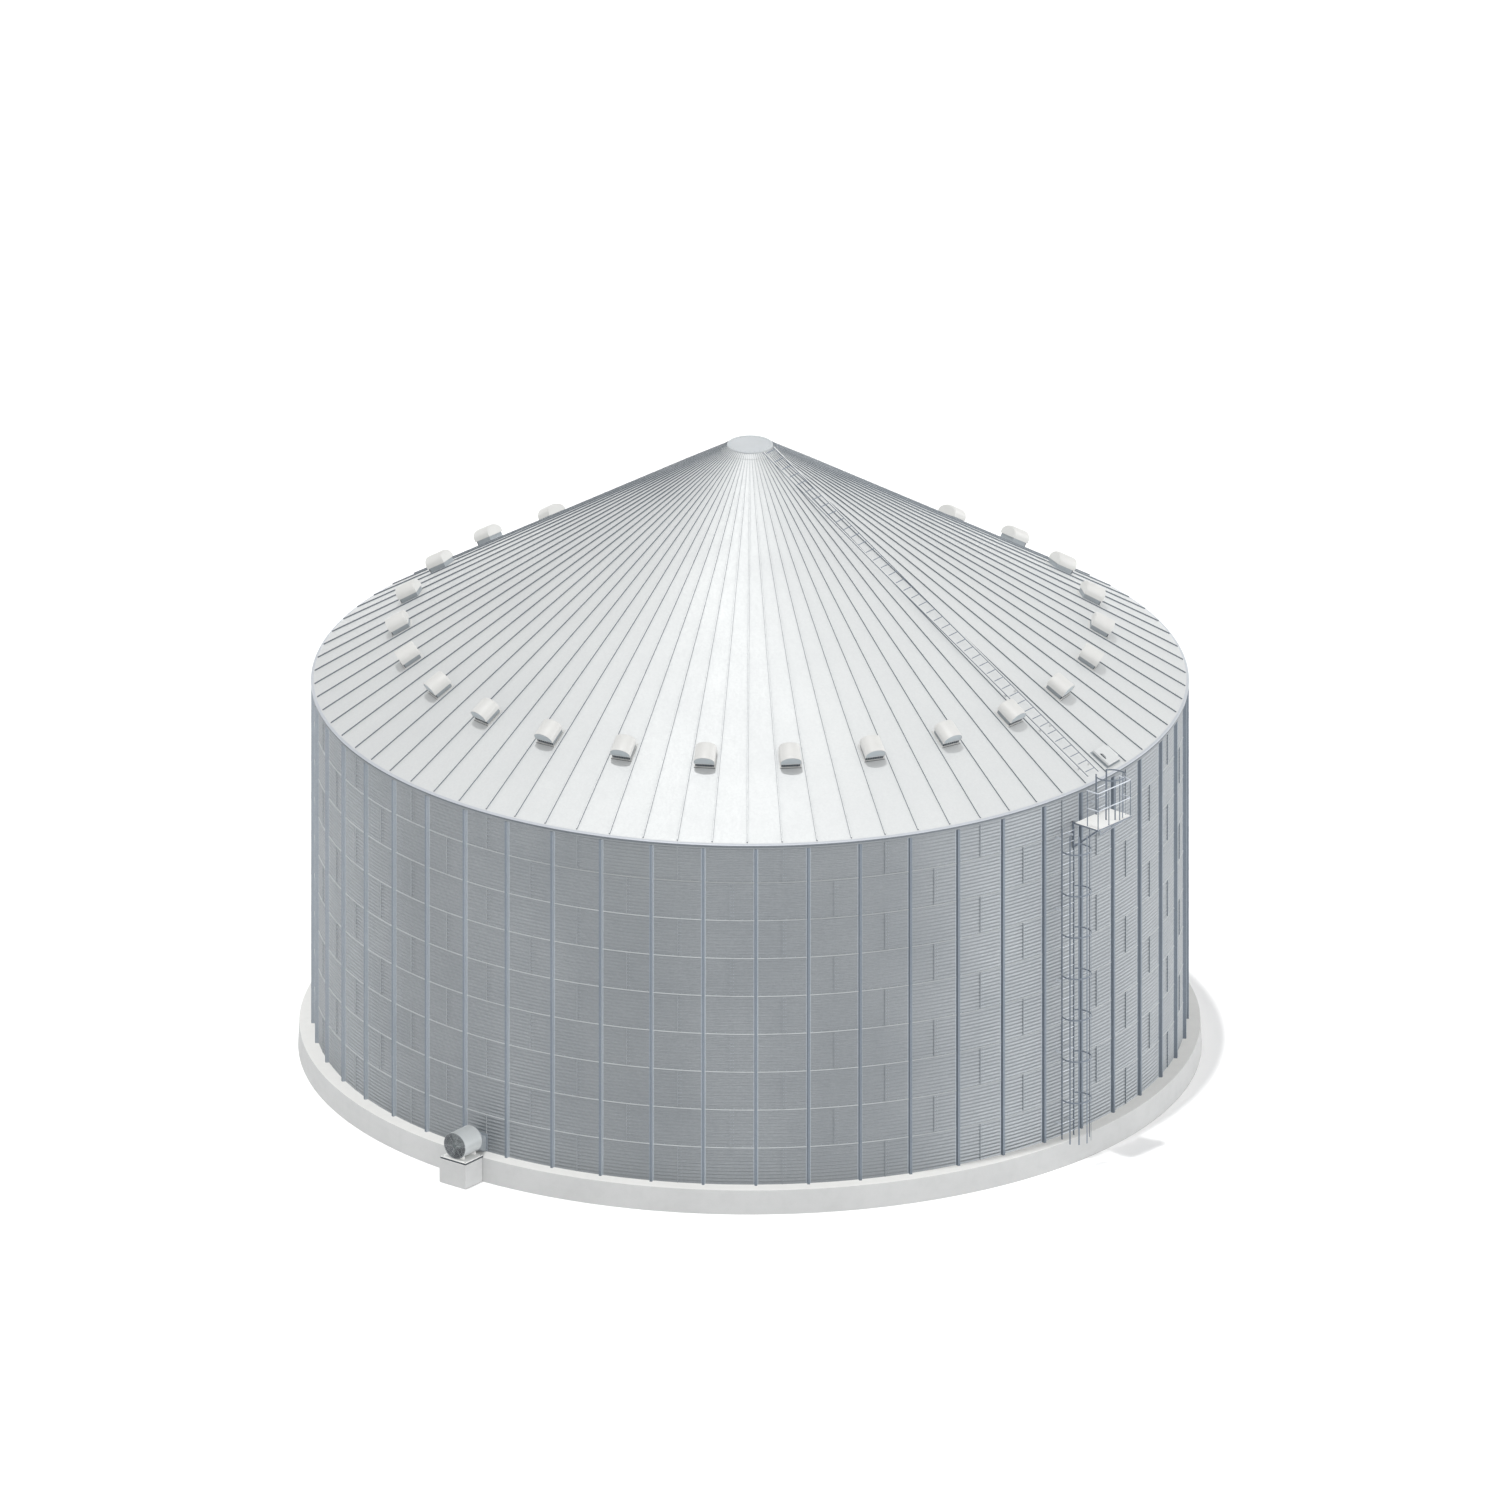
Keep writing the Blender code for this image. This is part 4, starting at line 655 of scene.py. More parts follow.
def pan_mesh(shape, matrix):
    """One rib with half a pan on each side, down to the eave's rolled edge."""
    rib_start, rib_full, rib_end, rim_start = 0.80, 2.3, 11.90, 11.935
    half = math.radians(RIB_ANGLE / 2)

    def scale_at(radius):
        """Ribs shrink to half size at the peak."""
        return 0.5 + 0.5 * min(max((radius - rib_start) / (rib_full - rib_start), 0.0), 1.0)

    def place(radius, x, h):
        # A pan is flat, so its height follows the distance along its own middle.
        y = -(radius - abs(x) * math.tan(half)) - h * DOWN_SLOPE
        return (x, y, roof_top(radius) + h * OFF_SLOPE)
    sides = [[], []]
    folds = [[], []]
    crest = []
    for radius in (0.68, rib_start, 1.3, rib_full, 3.5, 5.0, 6.5, 8.0, 9.5, 10.7, 11.24, rib_end):
        outline = rib_outline(scale_at(radius))
        lift = 0.0 if radius < rib_start else 1.0
        edge = radius * math.sin(half)
        foot = outline[0][0]
        sides[0].append([place(radius, x, 0.0) for x in (-edge, (foot - edge) / 2, foot)])
        sides[1].append([place(radius, x, 0.0) for x in (-foot, (edge - foot) / 2, edge)])
        row = [place(radius, x, h * lift) for x, h in outline]
        folds[0].append(row[:3])
        folds[1].append(row[3:])
        crest.append(row[2:4])
    for rows in sides + [crest]:
        shape.grid(rows, 0, matrix)
    # Both sides of each rib and its end take the dark rib-side zinc: painted shade.
    for rows in folds:
        shape.grid(rows, 1, matrix)
    shape.cap(row, 1, matrix)
    rim = []
    for radius in (rib_end, rim_start):
        edge = radius * math.sin(half)
        rim.append([place(radius, x, 0.0) for x in (-edge, -edge / 2, 0.0, edge / 2, edge)])
    shape.grid(rim, 0, matrix)
    crown = roof_top(rim_start)
    rows = rim[1:]
    # The rolled edge, the tuck under it and the hem; the tuck takes the dark rib-side zinc as painted shade
    # under the roll.
    for slot, steps in (
        (2, ((11.952, -0.006), (11.975, -0.012), (11.992, -0.020), (12.0, -0.030), (12.0, -0.040))),
        (1, ((11.990, -0.044), (11.972, -0.046), (11.972, -0.098))),
        (4, ((11.980, -0.100), (11.980, -0.140), (11.970, -0.1405), (11.968, -0.08))),
    ):
        rows = rows[-1:] + [rim_row(out, crown + up, half) for out, up in steps]
        shape.grid(rows, slot, matrix)
    for i in range(26):
        radius = 1.4 + 10.3 * i / 25
        seat = Matrix.Translation(place(radius, 0.0, RIB_HEIGHT * scale_at(radius) - 0.001))
        shape.bolt(matrix @ seat @ Matrix.Rotation(PAN_SLOPE, 4, "X"), 0.009, 0.007, 3)


def rim_row(radius, height, half):
    edge = radius * math.sin(half)
    return [(x, -math.sqrt(radius * radius - x * x), height) for x in (-edge, -edge / 2, 0.0, edge / 2, edge)]


def vent_mesh(shape, matrix):
    """Ventilator: flashing, riser with a screened mouth, and an arched hood closed at its front."""
    half, front, back, base = 0.290, -0.290, 0.290, 0.150
    shape.box((-0.30, -0.308, 0.0), (0.30, 0.31, 0.016), 0, matrix, 0.004)
    # The flashing's front edge is painted near-black: painted shade under the hood.
    shape.box((-0.295, -0.310, 0.001), (0.295, -0.3075, 0.020), 1, matrix)
    # The riser takes the darker zinc as painted shade under the hood.
    shape.box((-0.25, -0.262, 0.010), (0.25, 0.255, base + 0.012), 4, matrix, 0.004)
    # The mouth's screen is painted near-black as the shade inside the mouth.
    shape.box((-0.255, -0.272, 0.030), (0.255, -0.255, base + 0.004), 1, matrix, 0.002)
    for i in range(7):
        x = -0.21 + 0.07 * i
        shape.box((x - 0.003, -0.276, 0.028), (x + 0.003, -0.270, base), 2, matrix)
    steps = 18

    def arch(scale, side, rise):
        points = [(-half * scale, base)]
        for i in range(steps + 1):
            angle = math.pi * (1 - i / steps)
            points.append((half * scale * math.cos(angle), base + side + rise * math.sin(angle)))
        return points + [(half * scale, base)]
    outer = arch(1.0, 0.085, 0.205)
    inner = arch(0.972, 0.083, 0.197)
    rows = [
        [(x, front + 0.012, z) for x, z in inner], [(x, front, z) for x, z in inner],
        [(x, front, z) for x, z in outer], [(x, 0.21, z) for x, z in outer],
        [(x, 0.262, base + (z - base) * 0.95) for x, z in outer],
        [(x * 0.95, back, base + (z - base) * 0.84) for x, z in outer],
    ]
    shape.grid(rows, 0, matrix)
    shape.cap(rows[-1], 0, matrix)
    # The hood's front face takes the grey front coat: painted shade.
    shape.cap(rows[0], 3, matrix)
    tail = half * 0.95
    shape.cap([(-half, front, base), (half, front, base), (tail, back, base), (-tail, back, base)], 0, matrix)
    for x in (-0.275, 0.275):
        for y in (-0.28, -0.1, 0.1, 0.28):
            shape.bolt(matrix @ moved(x, y, 0.016), 0.009, 0.007, 2)


def build_peak():
    hole, neck, rim, depth = 0.52, 0.674, 0.785, 0.215
    top = SEAT_GAP + SKIRT_SHEET
    profile = [
        (hole, roof_top(CAP_RADIUS) + top), (CAP_RADIUS, roof_top(CAP_RADIUS) + top),
        (0.70, roof_top(0.70) + top), (0.775, roof_top(0.775) + top), (rim, roof_top(rim) + top - 0.006),
        (rim, roof_top(rim) + SEAT_GAP), (neck, roof_top(neck) + SEAT_GAP), (neck, roof_top(neck) - depth),
        (hole, roof_top(neck) - depth), (hole, roof_top(CAP_RADIUS) + top),
    ]
    shape = Shape()
    shape.turned(profile, 2 * RIBS)
    for i in range(RIBS):
        turn = turned_to(HATCH_BEARING + RIB_ANGLE * (i + 0.5))
        rows = []
        for radius, scale in ((CAP_RADIUS + 0.012, 0.36), (0.70, 0.40), (0.782, 0.44)):
            foot = roof_top(radius) + top - 0.001
            rows.append([(x, -radius - h * DOWN_SLOPE, foot + h * OFF_SLOPE) for x, h in rib_outline(scale)])
        # The ribs' sides and ends on the skirt take the dark rib-side zinc: painted shade.
        for part, slot in ((slice(0, 3), 1), (slice(3, 6), 1), (slice(2, 4), 0)):
            shape.grid([row[part] for row in rows], slot, turn)
        shape.cap(rows[-1], 1, turn)
    shape.build("peak_skirt", [ROOF, RIB_SIDE_SHADE], 30, ["peak_ring"], weld=0.00005)

    seat = roof_top(CAP_RADIUS) + top + SEAT_GAP
    high = seat + CAP_THICKNESS
    radius = CAP_RADIUS + 0.009
    profile = [
        (0.0, seat + 0.002), (radius - 0.004, seat), (radius, seat + 0.004), (radius, high - 0.006),
        (radius - 0.005, high), (radius - 0.022, high), (radius - 0.030, high - 0.010), (0.0, high - 0.006),
    ]
    bolt_count = 26
    shape = Shape()
    shape.turned(profile, 4 * bolt_count)
    for i in range(bolt_count):
        turn = turned_to(360.0 * i / bolt_count)
        shape.bolt(turn @ moved(0, -radius + 0.07, high - 0.010), 0.010, 0.008, 1)
    shape.build("peak_lid", [CAP, FLANGE_ZINC_AND_LIGHT], 30, ["peak_cap"], weld=0.00005)


# Hatch

def square_frame(shape, outer, inner, low, high, matrix, trim):
    for a, b in (
        ((-outer, -outer, low), (outer, -inner, high)), ((-outer, inner, low), (outer, outer, high)),
        ((-outer, -inner, low), (-inner, inner, high)), ((inner, -inner, low), (outer, inner, high)),
    ):
        shape.box(a, b, 0, matrix, trim)


def build_hatch():
    seat = turned_to(HATCH_BEARING) @ on_roof(HATCH_RADIUS)
    pin_x, pin_z = 0.31, 0.106
    shape = Shape()
    square_frame(shape, 0.28, 0.25, 0.001, 0.100, seat, 0.003)
    square_frame(shape, 0.33, 0.27, 0.0005, 0.008, seat, 0.002)
    for low, high in ((-0.236, -0.206), (0.206, 0.236)):
        shape.box((0.274, low, 0.06), (0.324, high, 0.120), 0, seat, 0.003)
    shape.tube([(pin_x, -0.232, pin_z), (pin_x, 0.232, pin_z)], 0.007, 12, 1, seat)
    for i in range(6):
        place = -0.25 + 0.1 * i
        for x, y in ((-0.305, place), (0.305, place), (place, -0.305), (place, 0.305)):
            shape.bolt(seat @ moved(x, y, 0.008), 0.008, 0.006, 1)
    shape.build("hatch_frame", [RISER_ZINC_AND_SHADE, SEAM_ZINC_AND_LIGHT], 30, ["hatch_curb"], weld=0.00002)

    lid = Shape()
    origin = seat @ moved(pin_x, 0, pin_z)
    right = 0.28 - 0.010 - pin_x
    left = -0.61
    half = 0.30
    lip = -0.045
    corner = 0.018

    def ring(inset, z):
        a, b, c = left + inset, right - inset, half - inset
        return [(a + corner, -c, z), (b, -c, z), (b, c, z), (a + corner, c, z), (a, c - corner, z),
                (a, -c + corner, z)]
    rows = [ring(inset, z) for inset, z in (
        (0.004, lip), (0.0, lip), (0.0, 0.012), (0.003, 0.018), (0.008, 0.020), (0.060, 0.020), (0.066, 0.0165),
        (0.075, 0.0165))]
    lid.grid(rows, 0, origin, wrap=True)
    lid.cap(rows[-1], 0, origin)
    inner = ring(0.006, 0.004)
    lid.grid([rows[0], inner], 0, origin, wrap=True)
    lid.cap(inner, 0, origin)
    lid.tube([(0.0, -0.2, 0.0), (0.0, 0.2, 0.0)], 0.0138, 14, 0, origin)
    lid.box((right - 0.03, -0.19, 0.009), (-0.002, 0.19, 0.0155), 0, origin, 0.001)
    grip = left + 0.10
    handle = ((-0.065, 0.014), (-0.065, 0.05), (-0.055, 0.0575), (0.055, 0.0575), (0.065, 0.05), (0.065, 0.014))
    lid.tube([(grip, y, z) for y, z in handle], 0.0072, 10, 1, origin)
    lid.box((grip - 0.024, -0.105, 0.0155), (grip + 0.024, 0.105, 0.0195), 1, origin, 0.001)
    lid.build("hatch_cover", [ROOF, SHADE], 30, ["hatch_lid"], weld=0.00002,
              body="hatch_lid")


# Ladders, cages and platform

def rung_levels(low, high):
    count = int((high - low) / LADDER_PITCH)
    return [low + LADDER_PITCH * (i + 0.5) for i in range(count)]


def stood_ladder(name, node, low, high, clips, matrix):
    """Flat stiles with round rungs, held to the wall by pairs of clips."""
    reach = LADDER_HALF + 0.005
    shape = Shape()
    # Stiles in the dark bar zinc and rungs in the light rail zinc: painted shade and painted light.
    for side in (-1, 1):
        shape.stand(side * LADDER_HALF, -LADDER_FACE, 0.006, 0.025, low, high, 1, matrix, 0.002)
    for z in rung_levels(low, high):
        shape.tube([(-reach, -LADDER_FACE, z), (reach, -LADDER_FACE, z)], 0.011, 8, 0, matrix)
    for z in clips:
        for side in (-1, 1):
            x = side * 0.224
            shape.box((x - 0.004, -LADDER_FACE + 0.015, z - 0.03), (x + 0.004, -WALL_FLAT - SEAT_GAP, z + 0.03),
                      0, matrix, 0.001)
            place = moved(side * 0.236, -LADDER_FACE - 0.008, z)
            shape.bolt(matrix @ place @ Matrix.Rotation(side * math.pi / 2, 4, "Y"), 0.009, 0.007, 1)
    shape.build(name, [RAIL_PAINTED_LIGHT, BAR_PAINTED_SHADE], 35, [node])


def cage(name, node, low, high, hoops, matrix):
    """Hoops on arms from the stiles, joined by five upright straps."""
    shape = Shape()
    centre = Vector((0, -CAGE_CENTRE, 0))
    sweep = 180.0 - math.degrees(math.acos((CAGE_CENTRE - LADDER_FACE) / CAGE_RADIUS)) - 3.0
    far = CAGE_RADIUS * math.sin(math.radians(sweep))
    out = CAGE_CENTRE + CAGE_RADIUS * math.cos(math.radians(sweep))
    for z in hoops:
        path = [centre + polar(CAGE_RADIUS, -sweep + 2 * sweep * i / 32, z) for i in range(33)]
        shape.flat_bar(path, 0.040, 0.008, (0, 0, 1), 0, matrix)
        for side in (-1, 1):
            near_x, far_x = sorted((side * 0.2364, side * far))
            shape.box((near_x, -out - 0.006, z - 0.018), (far_x, -out + 0.006, z + 0.018), 0, matrix, 0.001)
    for i in range(-2, 3):
        turn = matrix @ Matrix.Translation(centre) @ turned_to(36.0 * i)
        shape.box((-0.020, -CAGE_RADIUS + 0.004, low), (0.020, -CAGE_RADIUS + 0.012, high), 0, turn, 0.002)
        for z in hoops:
            shape.bolt(turn @ facing(0, -CAGE_RADIUS - 0.002, z), 0.009, 0.006)
    # The cage is all in the dark bar zinc: painted shade.
    shape.build(name, [BAR_PAINTED_SHADE], 35, [node])


def build_ladders():
    lower = turned_to(LOWER_BEARING)
    low = SLAB_HEIGHT + SEAT_GAP
    clips = [SLAB_HEIGHT + 0.45 + 2.1 * i for i in range(5)]
    stood_ladder("wall_ladder_bars", "wall_ladder", low, DECK_TOP, clips, lower)
    hoops = [SLAB_HEIGHT + 1.25 + 1.22 * i for i in range(7)]
    cage("wall_cage_bars", "ladder_cage", low + 0.02, DECK_TOP - DECK_THICKNESS - 0.006, hoops, lower)
    upper = turned_to(UPPER_BEARING) @ moved(LADDER_SHIFT, 0, 0)
    low = DECK_TOP + SEAT_GAP
    high = DECK_TOP + 1.19
    stood_ladder("eave_ladder_bars", "eave_ladder", low, high, [DECK_TOP + 0.35], upper)
    cage("eave_cage_bars", "eave_cage", low, high, [high - 0.03], upper)


def build_roof_ladder():
    start, lift = 11.80, 0.085
    matrix = turned_to(UPPER_BEARING) @ on_roof(start)
    length = (start - CAP_RADIUS - 0.02) / OFF_SLOPE
    left, right = LADDER_SHIFT - LADDER_HALF, LADDER_SHIFT + LADDER_HALF
    shape = Shape()
    # Each rail has sides in the dark bar zinc under a top in the light roof zinc, and the rungs are in the dark
    # bar zinc: painted shade and painted light.
    for x in (left, right):
        shape.box((x - 0.0225, 0, lift), (x + 0.0225, length, lift + 0.026), 1, matrix)
        shape.box((x - 0.0215, 0.001, lift + 0.02), (x + 0.0215, length - 0.001, lift + 0.03), 0, matrix, 0.002)
    # One rung lies over the foot on the skirt, and none close beside it.
    seat = (start - 0.70) / OFF_SLOPE
    levels = [y for y in rung_levels(0, length) if abs(y - seat) > LADDER_PITCH / 2] + [seat]
    for y in levels:
        shape.tube([(left, y, lift + 0.015), (right, y, lift + 0.015)], 0.012, 8, 1, matrix)
    for y in (0.35, 1.9, 3.3):
        for side in (-1, 1):
            shape.stand(side * 0.215 + LADDER_SHIFT, y, 0.02, 0.03, 0.0004, lift + 0.004, 0, matrix, 0.002)
    skirt = (SKIRT_SHEET + 0.0005) * OFF_SLOPE
    shape.stand(0, seat, 0.02, 0.008, skirt, lift + 0.015, 0, matrix)
    bars = shape.build("roof_ladder_bars", [ROOF, BAR_PAINTED_SHADE], 35, ["roof_ladder"])
    bars.visible_diffuse = False
    bars.visible_shadow = False


def wall_reach(across):
    """How far out the wall's facets are, at a distance across from the middle of the platform."""
    step = math.radians(BAY / 3)
    index = int(math.asin(across / SHEET_OUTER) / step)
    near, far = [Vector((math.sin(i * step), math.cos(i * step))) * SHEET_OUTER for i in (index, index + 1)]
    share = (across - near.x) / (far.x - near.x)
    return near.y + share * (far.y - near.y)


def build_platform():
    matrix = turned_to(DECK_BEARING)
    rim, treads = 0.003, 14
    shape = Shape()
    # The deck's body shows its sides in the dark bar zinc: painted shade under the light plate.
    shape.box((DECK_LEFT, -DECK_OUTER, DECK_TOP - DECK_THICKNESS), (DECK_RIGHT, -DECK_INNER, DECK_TOP - 0.006),
              1, matrix, 0.002)
    shape.box((DECK_LEFT + rim, -DECK_OUTER + rim, DECK_TOP - 0.007),
              (DECK_RIGHT - rim, -DECK_INNER - rim, DECK_TOP - 0.001), 0, matrix)
    for i in range(1, treads):
        x = DECK_LEFT + (DECK_RIGHT - DECK_LEFT) * i / treads
        shape.box((x - 0.004, -DECK_OUTER + 0.03, DECK_TOP - 0.004),
                  (x + 0.004, -DECK_INNER - 0.03, DECK_TOP - 0.0001), 0, matrix)
    shape.build("deck_plate", [DECK, BAR_PAINTED_SHADE], 30, ["platform_deck"])

    # The right bracket takes the light rail zinc as painted light, so it does not show dark in the shade under
    # the deck; the left one takes the dark bar zinc as painted shade.
    for side, across, coat in (("left", DECK_LEFT + 0.11, BAR_PAINTED_SHADE), ("right", DECK_RIGHT - 0.11, RAIL_PAINTED_LIGHT)):
        shape = Shape()
        wall = wall_reach(abs(across) - 0.025) + SEAT_GAP
        top = DECK_TOP - DECK_THICKNESS - SEAT_GAP
        foot = top - 0.78
        tip = DECK_OUTER - 0.05
        for offset, width, reach in ((-0.025, 0.008, 0.05), (-0.017, 0.042, 0.008)):
            x = across + offset
            shape.box((x, -wall - reach, foot), (x + width, -wall, top), 0, matrix, 0.001)
            shape.box((x, -tip, top - reach), (x + width, -wall, top), 0, matrix, 0.001)
        low = Vector((across, -wall - 0.03, foot + 0.03))
        high = Vector((across, -tip + 0.05, top - 0.03))
        shape.flat_bar([low, (low + high) / 2, high], 0.044, 0.044, (1, 0, 0), 0, matrix)
        for z in (foot + 0.08, top - 0.12):
            shape.bolt(matrix @ facing(across + 0.004, -wall - 0.008, z), 0.010, 0.008, 1)
        shape.build("deck_bracket_" + side, [coat, FLANGE_ZINC_AND_LIGHT], 35, ["platform_bracket_" + side])

    shape = Shape()
    inset, bend, middle = 0.025, 0.03, 0.009
    left, right = DECK_LEFT + inset, DECK_RIGHT - inset
    front = -DECK_OUTER + inset
    back = front + 0.40
    path = [
        (left, back), (left, front + bend), (left + middle, front + middle), (left + bend, front),
        (right - bend, front), (right - middle, front + middle), (right, front + bend), (right, back),
    ]
    # Rails in the light rail zinc and posts in the dark bar zinc: painted light and painted shade.
    for z in (DECK_TOP + RAIL_HEIGHT / 2, DECK_TOP + RAIL_HEIGHT - 0.017):
        shape.tube([(x, y, z) for x, y in path], 0.0165, 10, 0, matrix)
    spots = [(left + (right - left) * i / 3, front) for i in range(4)]
    for x, y in spots + [(left, back - 0.014), (right, back - 0.014)]:
        shape.tube([(x, y, DECK_TOP + SEAT_GAP), (x, y, DECK_TOP + RAIL_HEIGHT - 0.02)], 0.0145, 10, 1, matrix)
        shape.stand(x, y, 0.022, 0.022, DECK_TOP + SEAT_GAP, DECK_TOP + 0.008, 0, matrix, 0.002)
    shape.build("deck_railing", [RAIL_PAINTED_LIGHT, BAR_PAINTED_SHADE], 40, ["platform_railing"])


# Aeration fan

def build_fan_base(turn):
    """Sole plate on a frame, with two cradles under the drum."""
    half, front, back = 0.435, -13.02, -12.33
    side = half + 0.002
    low = SLAB_HEIGHT + 0.035
    high = low + 0.018
    shape = Shape()
    shape.box((-half, -13.07, low), (half, -12.28, high), 0, turn, 0.003)
    # The frame under the plate is painted near-black as the shade in the gap under the plate.
    for (x0, y0), (x1, y1) in (
        ((-side, -13.072), (side, front)), ((-side, back), (side, -12.29)),
        ((-side, front), (0.05 - half, back)), ((half - 0.05, front), (side, back)),
    ):
        shape.box((x0, y0, SLAB_HEIGHT + SEAT_GAP), (x1, y1, high - 0.005), 1, turn)
    for distance in (FAN_FRONT - 0.12, FAN_BACK + 0.12):
        curve = []
        for i in range(13):
            x = -0.24 + 0.48 * i / 12
            z = FAN_AXIS_Z - math.sqrt((FAN_RADIUS + 0.0005) ** 2 - x * x)
            curve.append((x, min(z, high + 0.10)))
        level = [(x, high - 0.003) for x, z in curve]
        near, far = -distance - 0.015, -distance + 0.015
        lines = ((near, level), (near, curve), (far, curve), (far, level), (near, level))
        rows = [[(x, y, z) for x, z in line] for y, line in lines]
        shape.grid(rows, 0, turn)
        for end in (0, -1):
            shape.cap([row[end] for row in rows[:4]], 0, turn)
    for x in (-half + 0.05, half - 0.05):
        for y in (front, back):
            shape.bolt(turn @ moved(x, y, high), 0.014, 0.012, 1)
    shape.build("fan_base_frame", [DECK, SHADE], 30, ["fan_base"], weld=0.00002)


def build_fan_drum(turn):
    inner, low, band = FAN_RADIUS - 0.008, FAN_RADIUS - 0.004, FAN_RADIUS - 0.001
    length = FAN_FRONT - FAN_BACK
    back = turn @ along_fan(FAN_BACK)
    profile = [
        (inner, 0.0), (inner, length - 0.004), (inner + 0.002, length), (band, length),
        (FAN_RADIUS, length - 0.006), (FAN_RADIUS, length - 0.022), (low, length - 0.026), (low, 0.34),
        (band, 0.336), (band, 0.316), (low, 0.312), (low, 0.026), (FAN_RADIUS, 0.022), (FAN_RADIUS, 0.0),
        (inner, 0.0),
    ]
    shape = Shape()
    # The bore inside the drum is painted near-black: painted shade.
    shape.turned(profile[:3], 72, 1, back)
    shape.turned(profile[2:], 72, 0, back)
    shape.build("fan_drum", [DRUM, SHADE], 30, ["fan_housing"], weld=0.00002)


def build_fan_duct(turn):
    """Duct from the round drum to the wall's square port, with a bolted flange."""
    half_w, count = 0.235, 48
    bottom = SLAB_HEIGHT + SEAT_GAP - FAN_AXIS_Z
    top = SLAB_HEIGHT + 0.46 - FAN_AXIS_Z
    middle = (bottom + top) / 2
    half_h = (top - bottom) / 2

    def rectangle(trim):
        ring = []
        for c, s in circle(1.0, count, 0.5):
            scale = 1.0 / max(abs(c), abs(s))
            ring.append(((half_w - trim) * c * scale, middle + (half_h - trim) * s * scale))
        return ring
    mouth = circle(FAN_RADIUS - 0.001, count, 0.5)
    neck = circle(FAN_RADIUS - 0.006, count, 0.5)
    bore = circle(FAN_RADIUS - 0.008, count, 0.5)
    joint, port, end = FAN_BACK - SEAT_GAP, SHEET_OUTER + 0.10, 11.78
    stations = [
        (mouth, joint), (mouth, FAN_BACK - 0.014), (neck, FAN_BACK - 0.018), (rectangle(0.001), port),
        (rectangle(0.001), end), (rectangle(0.008), end), (rectangle(0.008), port), (bore, joint),
    ]
    rings = [[(x, -distance, FAN_AXIS_Z + z) for x, z in ring] for ring, distance in stations]
    shape = Shape()
    shape.grid(rings + rings[:1], 0, turn, wrap=True)
    side = half_w + 0.055
    z0, z1 = SLAB_HEIGHT + 0.0005, SLAB_HEIGHT + 0.46
    face = -SHEET_OUTER - 0.02
    for (xa, za), (xb, zb) in (
        ((-side, z0), (0.002 - half_w, z1)), ((half_w - 0.002, z0), (side, z1)),
        ((-side, z1 - 0.002), (side, z1 + 0.055)),
    ):
        shape.box((xa, face, za), (xb, face + 0.012, zb), 1, turn, 0.001)
    for i in range(4):
        for x in (-side + 0.027, side - 0.027):
            shape.bolt(turn @ facing(x, face, z0 + 0.06 + 0.13 * i), 0.009, 0.008, 1)
    shape.build("fan_duct_sheet", [RISER_ZINC_AND_SHADE, FLANGE_ZINC_AND_LIGHT], 30, ["fan_transition"], weld=0.00002)


def build_fan_guard(turn):
    """Wire rings on six spokes round a small plate."""
    seat = turn @ along_fan(FAN_FRONT + SEAT_GAP + 0.004)
    shape = Shape()
    for radius in [0.07 + 0.02 * i for i in range(15)] + [FAN_RADIUS - 0.004]:
        path = [(x, y, 0) for x, y in circle(radius, 48)]
        shape.tube(path, 0.0022 if radius < 0.35 else 0.0038, 6, 0, seat, True)
    for c, s in circle(1.0, 6, 0.125):
        shape.tube([(0.03 * c, 0.03 * s, 0.0), (0.372 * c, 0.372 * s, 0.0)], 0.0034, 6, 0, seat)
    shape.hub([(0.046, -0.0036), (0.05, -0.002), (0.05, 0.002), (0.046, 0.0036)], 24, 1, seat)
    shape.build("fan_guard_wire", [SEAM_ZINC_AND_LIGHT, CAST], 40, ["fan_guard"])


def build_fan_wheel(turn):
    """Hub with six twisted blades, and the shaft behind it."""
    axis = turn @ along_fan(12.83)
    hub = [(0.100, -0.070), (0.119, -0.066), (0.1195, 0.030), (0.110, 0.052), (0.080, 0.066), (0.030, 0.0695)]
    stations = ((0.112, 52, 0.118), (0.17, 45, 0.14), (0.24, 38, 0.148), (0.30, 32, 0.15), (0.350, 28, 0.146))
    section = ((-0.5, 0.0), (-0.3, 0.0025), (0.0, 0.003), (0.3, 0.0022), (0.5, 0.0), (0.3, -0.0022),
               (0.0, -0.003), (-0.3, -0.0025))
    blade = []
    for radius, pitch, chord in stations:
        angle = math.radians(pitch)
        across = Vector((0, math.cos(angle), math.sin(angle)))
        thick = Vector((0, -math.sin(angle), math.cos(angle)))
        start = Vector((radius, 0, 0))
        blade.append([start + across * (t * chord) + thick * (w + 0.006 * (0.25 - t * t) - 0.0015)
                      for t, w in section])
    shape = Shape()
    shape.hub(hub, 48, 0, axis)
    for i in range(6):
        shape.loft(blade, 0, axis @ Matrix.Rotation(math.pi * i / 3, 4, "Z"))
    shape.tube([(0, 0, -0.17), (0, 0, -0.06)], 0.0199, 24, 1, axis)
    shape.build("fan_wheel", [CAST, SEAM_ZINC_AND_LIGHT], 35, ["fan_impeller"], body="fan_rotor")


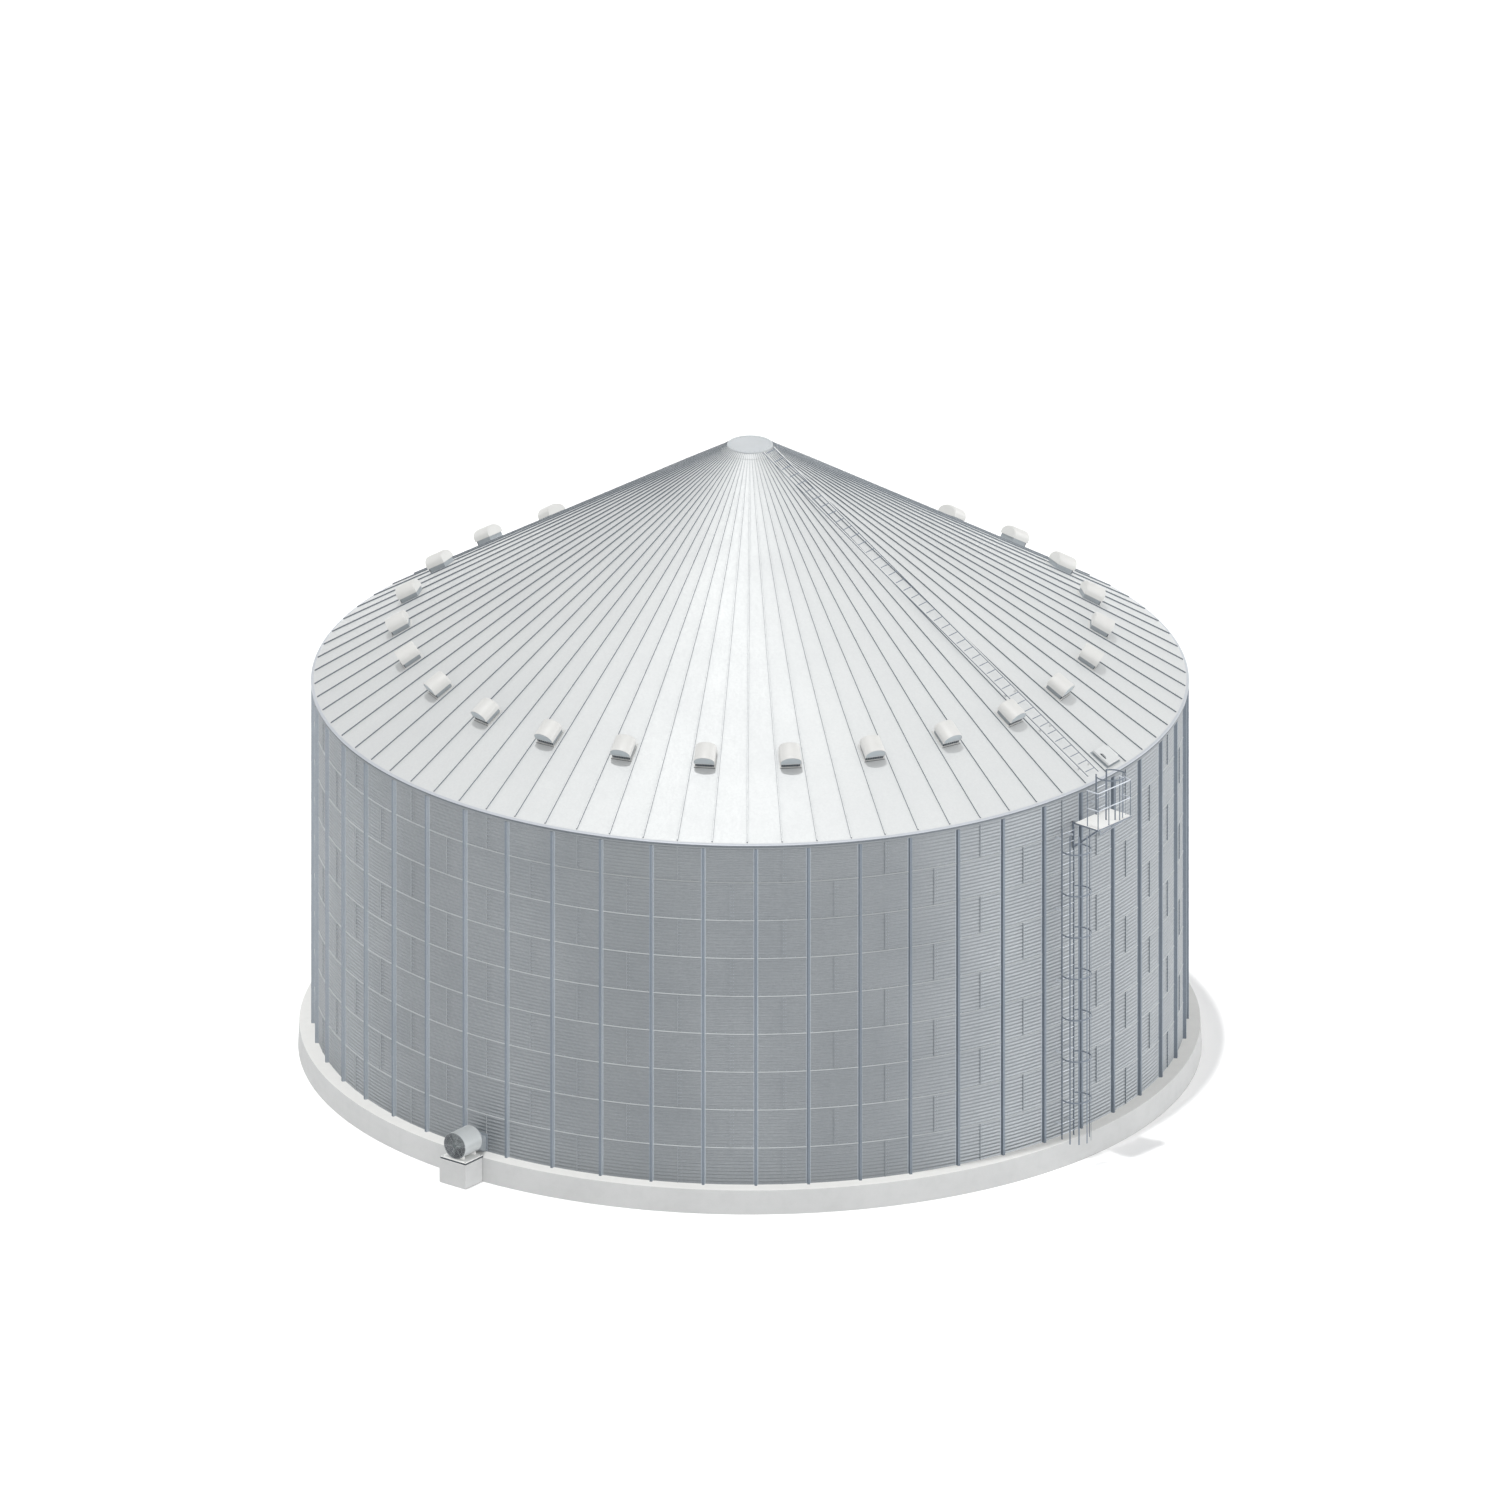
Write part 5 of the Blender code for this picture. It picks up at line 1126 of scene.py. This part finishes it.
def build_fan_motor(turn):
    """Finned case on four arms."""
    place = turn @ along_fan(12.74)
    profile = [(0.0205, 0.0), (0.058, -0.001), (0.060, -0.020), (0.110, -0.034)]
    for i in range(11):
        z = -0.046 - 0.022 * i
        profile += [(0.124, z), (0.124, z - 0.008), (0.112, z - 0.010), (0.112, z - 0.020)]
    profile += [(0.110, -0.29), (0.050, -0.326), (0.0, -0.328)]
    shape = Shape()
    shape.turned(profile, 48, 0, place)
    for i in range(4):
        spin = Matrix.Rotation(math.pi / 2 * i + math.pi / 4, 4, "Z")
        shape.box((0.105, -0.006, -0.25), (0.3645, 0.006, -0.10), 0, place @ spin, 0.002)
    shape.build("fan_motor_case", [CAST], 30, ["fan_motor"], weld=0.00002)


# Stage, light and camera

def build_stage():
    mesh = bpy.data.meshes.new("floor")
    size = 400.0
    corners = [(-size, -size, 0), (size, -size, 0), (size, size, 0), (-size, size, 0)]
    mesh.from_pydata(corners, [], [[0, 1, 2, 3]])
    floor = placed("floor", mesh)
    floor.location = (0, 0, -0.002)
    made = Finish("floor_white", 0.0, 0.9)
    grain = made.noise(0.8, 2.0)
    made.coat(made.ramp(grain, 0.0, 1.0, 0.95, 0.93))
    mesh.materials.append(made.material)


def build_light():
    """Sky, brighter overhead, with a small high sun, a side light, a softbox and six fill lights."""
    world = bpy.data.worlds.new("studio")
    bpy.context.scene.world = world
    world.use_nodes = True
    tree = world.node_tree
    tree.nodes["Background"].inputs["Color"].default_value = (1.0, 1.0, 1.0, 1.0)
    separate = tree.nodes.new("ShaderNodeSeparateXYZ")
    tree.links.new(tree.nodes.new("ShaderNodeTexCoord").outputs["Generated"], separate.inputs[0])
    shade = tree.nodes.new("ShaderNodeMapRange")
    shade.interpolation_type = "SMOOTHSTEP"
    shade.inputs["To Min"].default_value = SKY_LOW
    shade.inputs["To Max"].default_value = SKY_HIGH
    tree.links.new(separate.outputs["Z"], shade.inputs["Value"])
    tree.links.new(shade.outputs["Result"], tree.nodes["Background"].inputs["Strength"])
    lamps = [
        ("overhead", SUN_POWER, 1.5, (-0.0914, -0.0467, 1.0), True),
        ("side", SIDE_POWER, 20.0, (0.95, -0.30, 0.06), False),
        ("softbox", SOFTBOX_POWER, 80.0, (0.98, 0.17, -0.10), False),
    ]
    for i in range(6):
        angle = math.radians(60.0 * i)
        lamps.append((f"fill_{i + 1}", FILL_POWER, 20.0, (math.sin(angle), -math.cos(angle), 0.12), False))
    for name, power, spread, toward, shadow in lamps:
        lamp = bpy.data.lights.new(name, "SUN")
        lamp.energy = power
        lamp.angle = math.radians(spread)
        lamp.use_shadow = shadow
        item = placed(name, lamp)
        direction = Vector(toward).normalized()
        item.rotation_euler = direction.to_track_quat("Z", "Y").to_euler()
        item.location = direction * 60
        # The softbox shows only in the sheen of the metal.
        item.visible_diffuse = name != "softbox"


def build_camera():
    data = bpy.data.cameras.new("camera")
    data.type = "ORTHO"
    data.ortho_scale = 40.99
    data.clip_end = 500.0
    item = placed("camera", data)
    elevation = math.radians(22.15)
    target = Vector((0, 0, 8.68))
    item.location = target + Vector((0, -math.cos(elevation), math.sin(elevation))) * 80
    item.rotation_euler = (math.pi / 2 - elevation, 0, 0)
    bpy.context.scene.camera = item
    bpy.context.scene.view_settings.view_transform = "Standard"


build_slab()
build_wall()
build_roof()
build_peak()
build_hatch()
build_ladders()
build_roof_ladder()
build_platform()
for build_fan_part in (
    build_fan_base, build_fan_drum, build_fan_duct, build_fan_guard, build_fan_wheel, build_fan_motor,
):
    build_fan_part(turned_to(FAN_BEARING))
build_stage()
build_light()
build_camera()
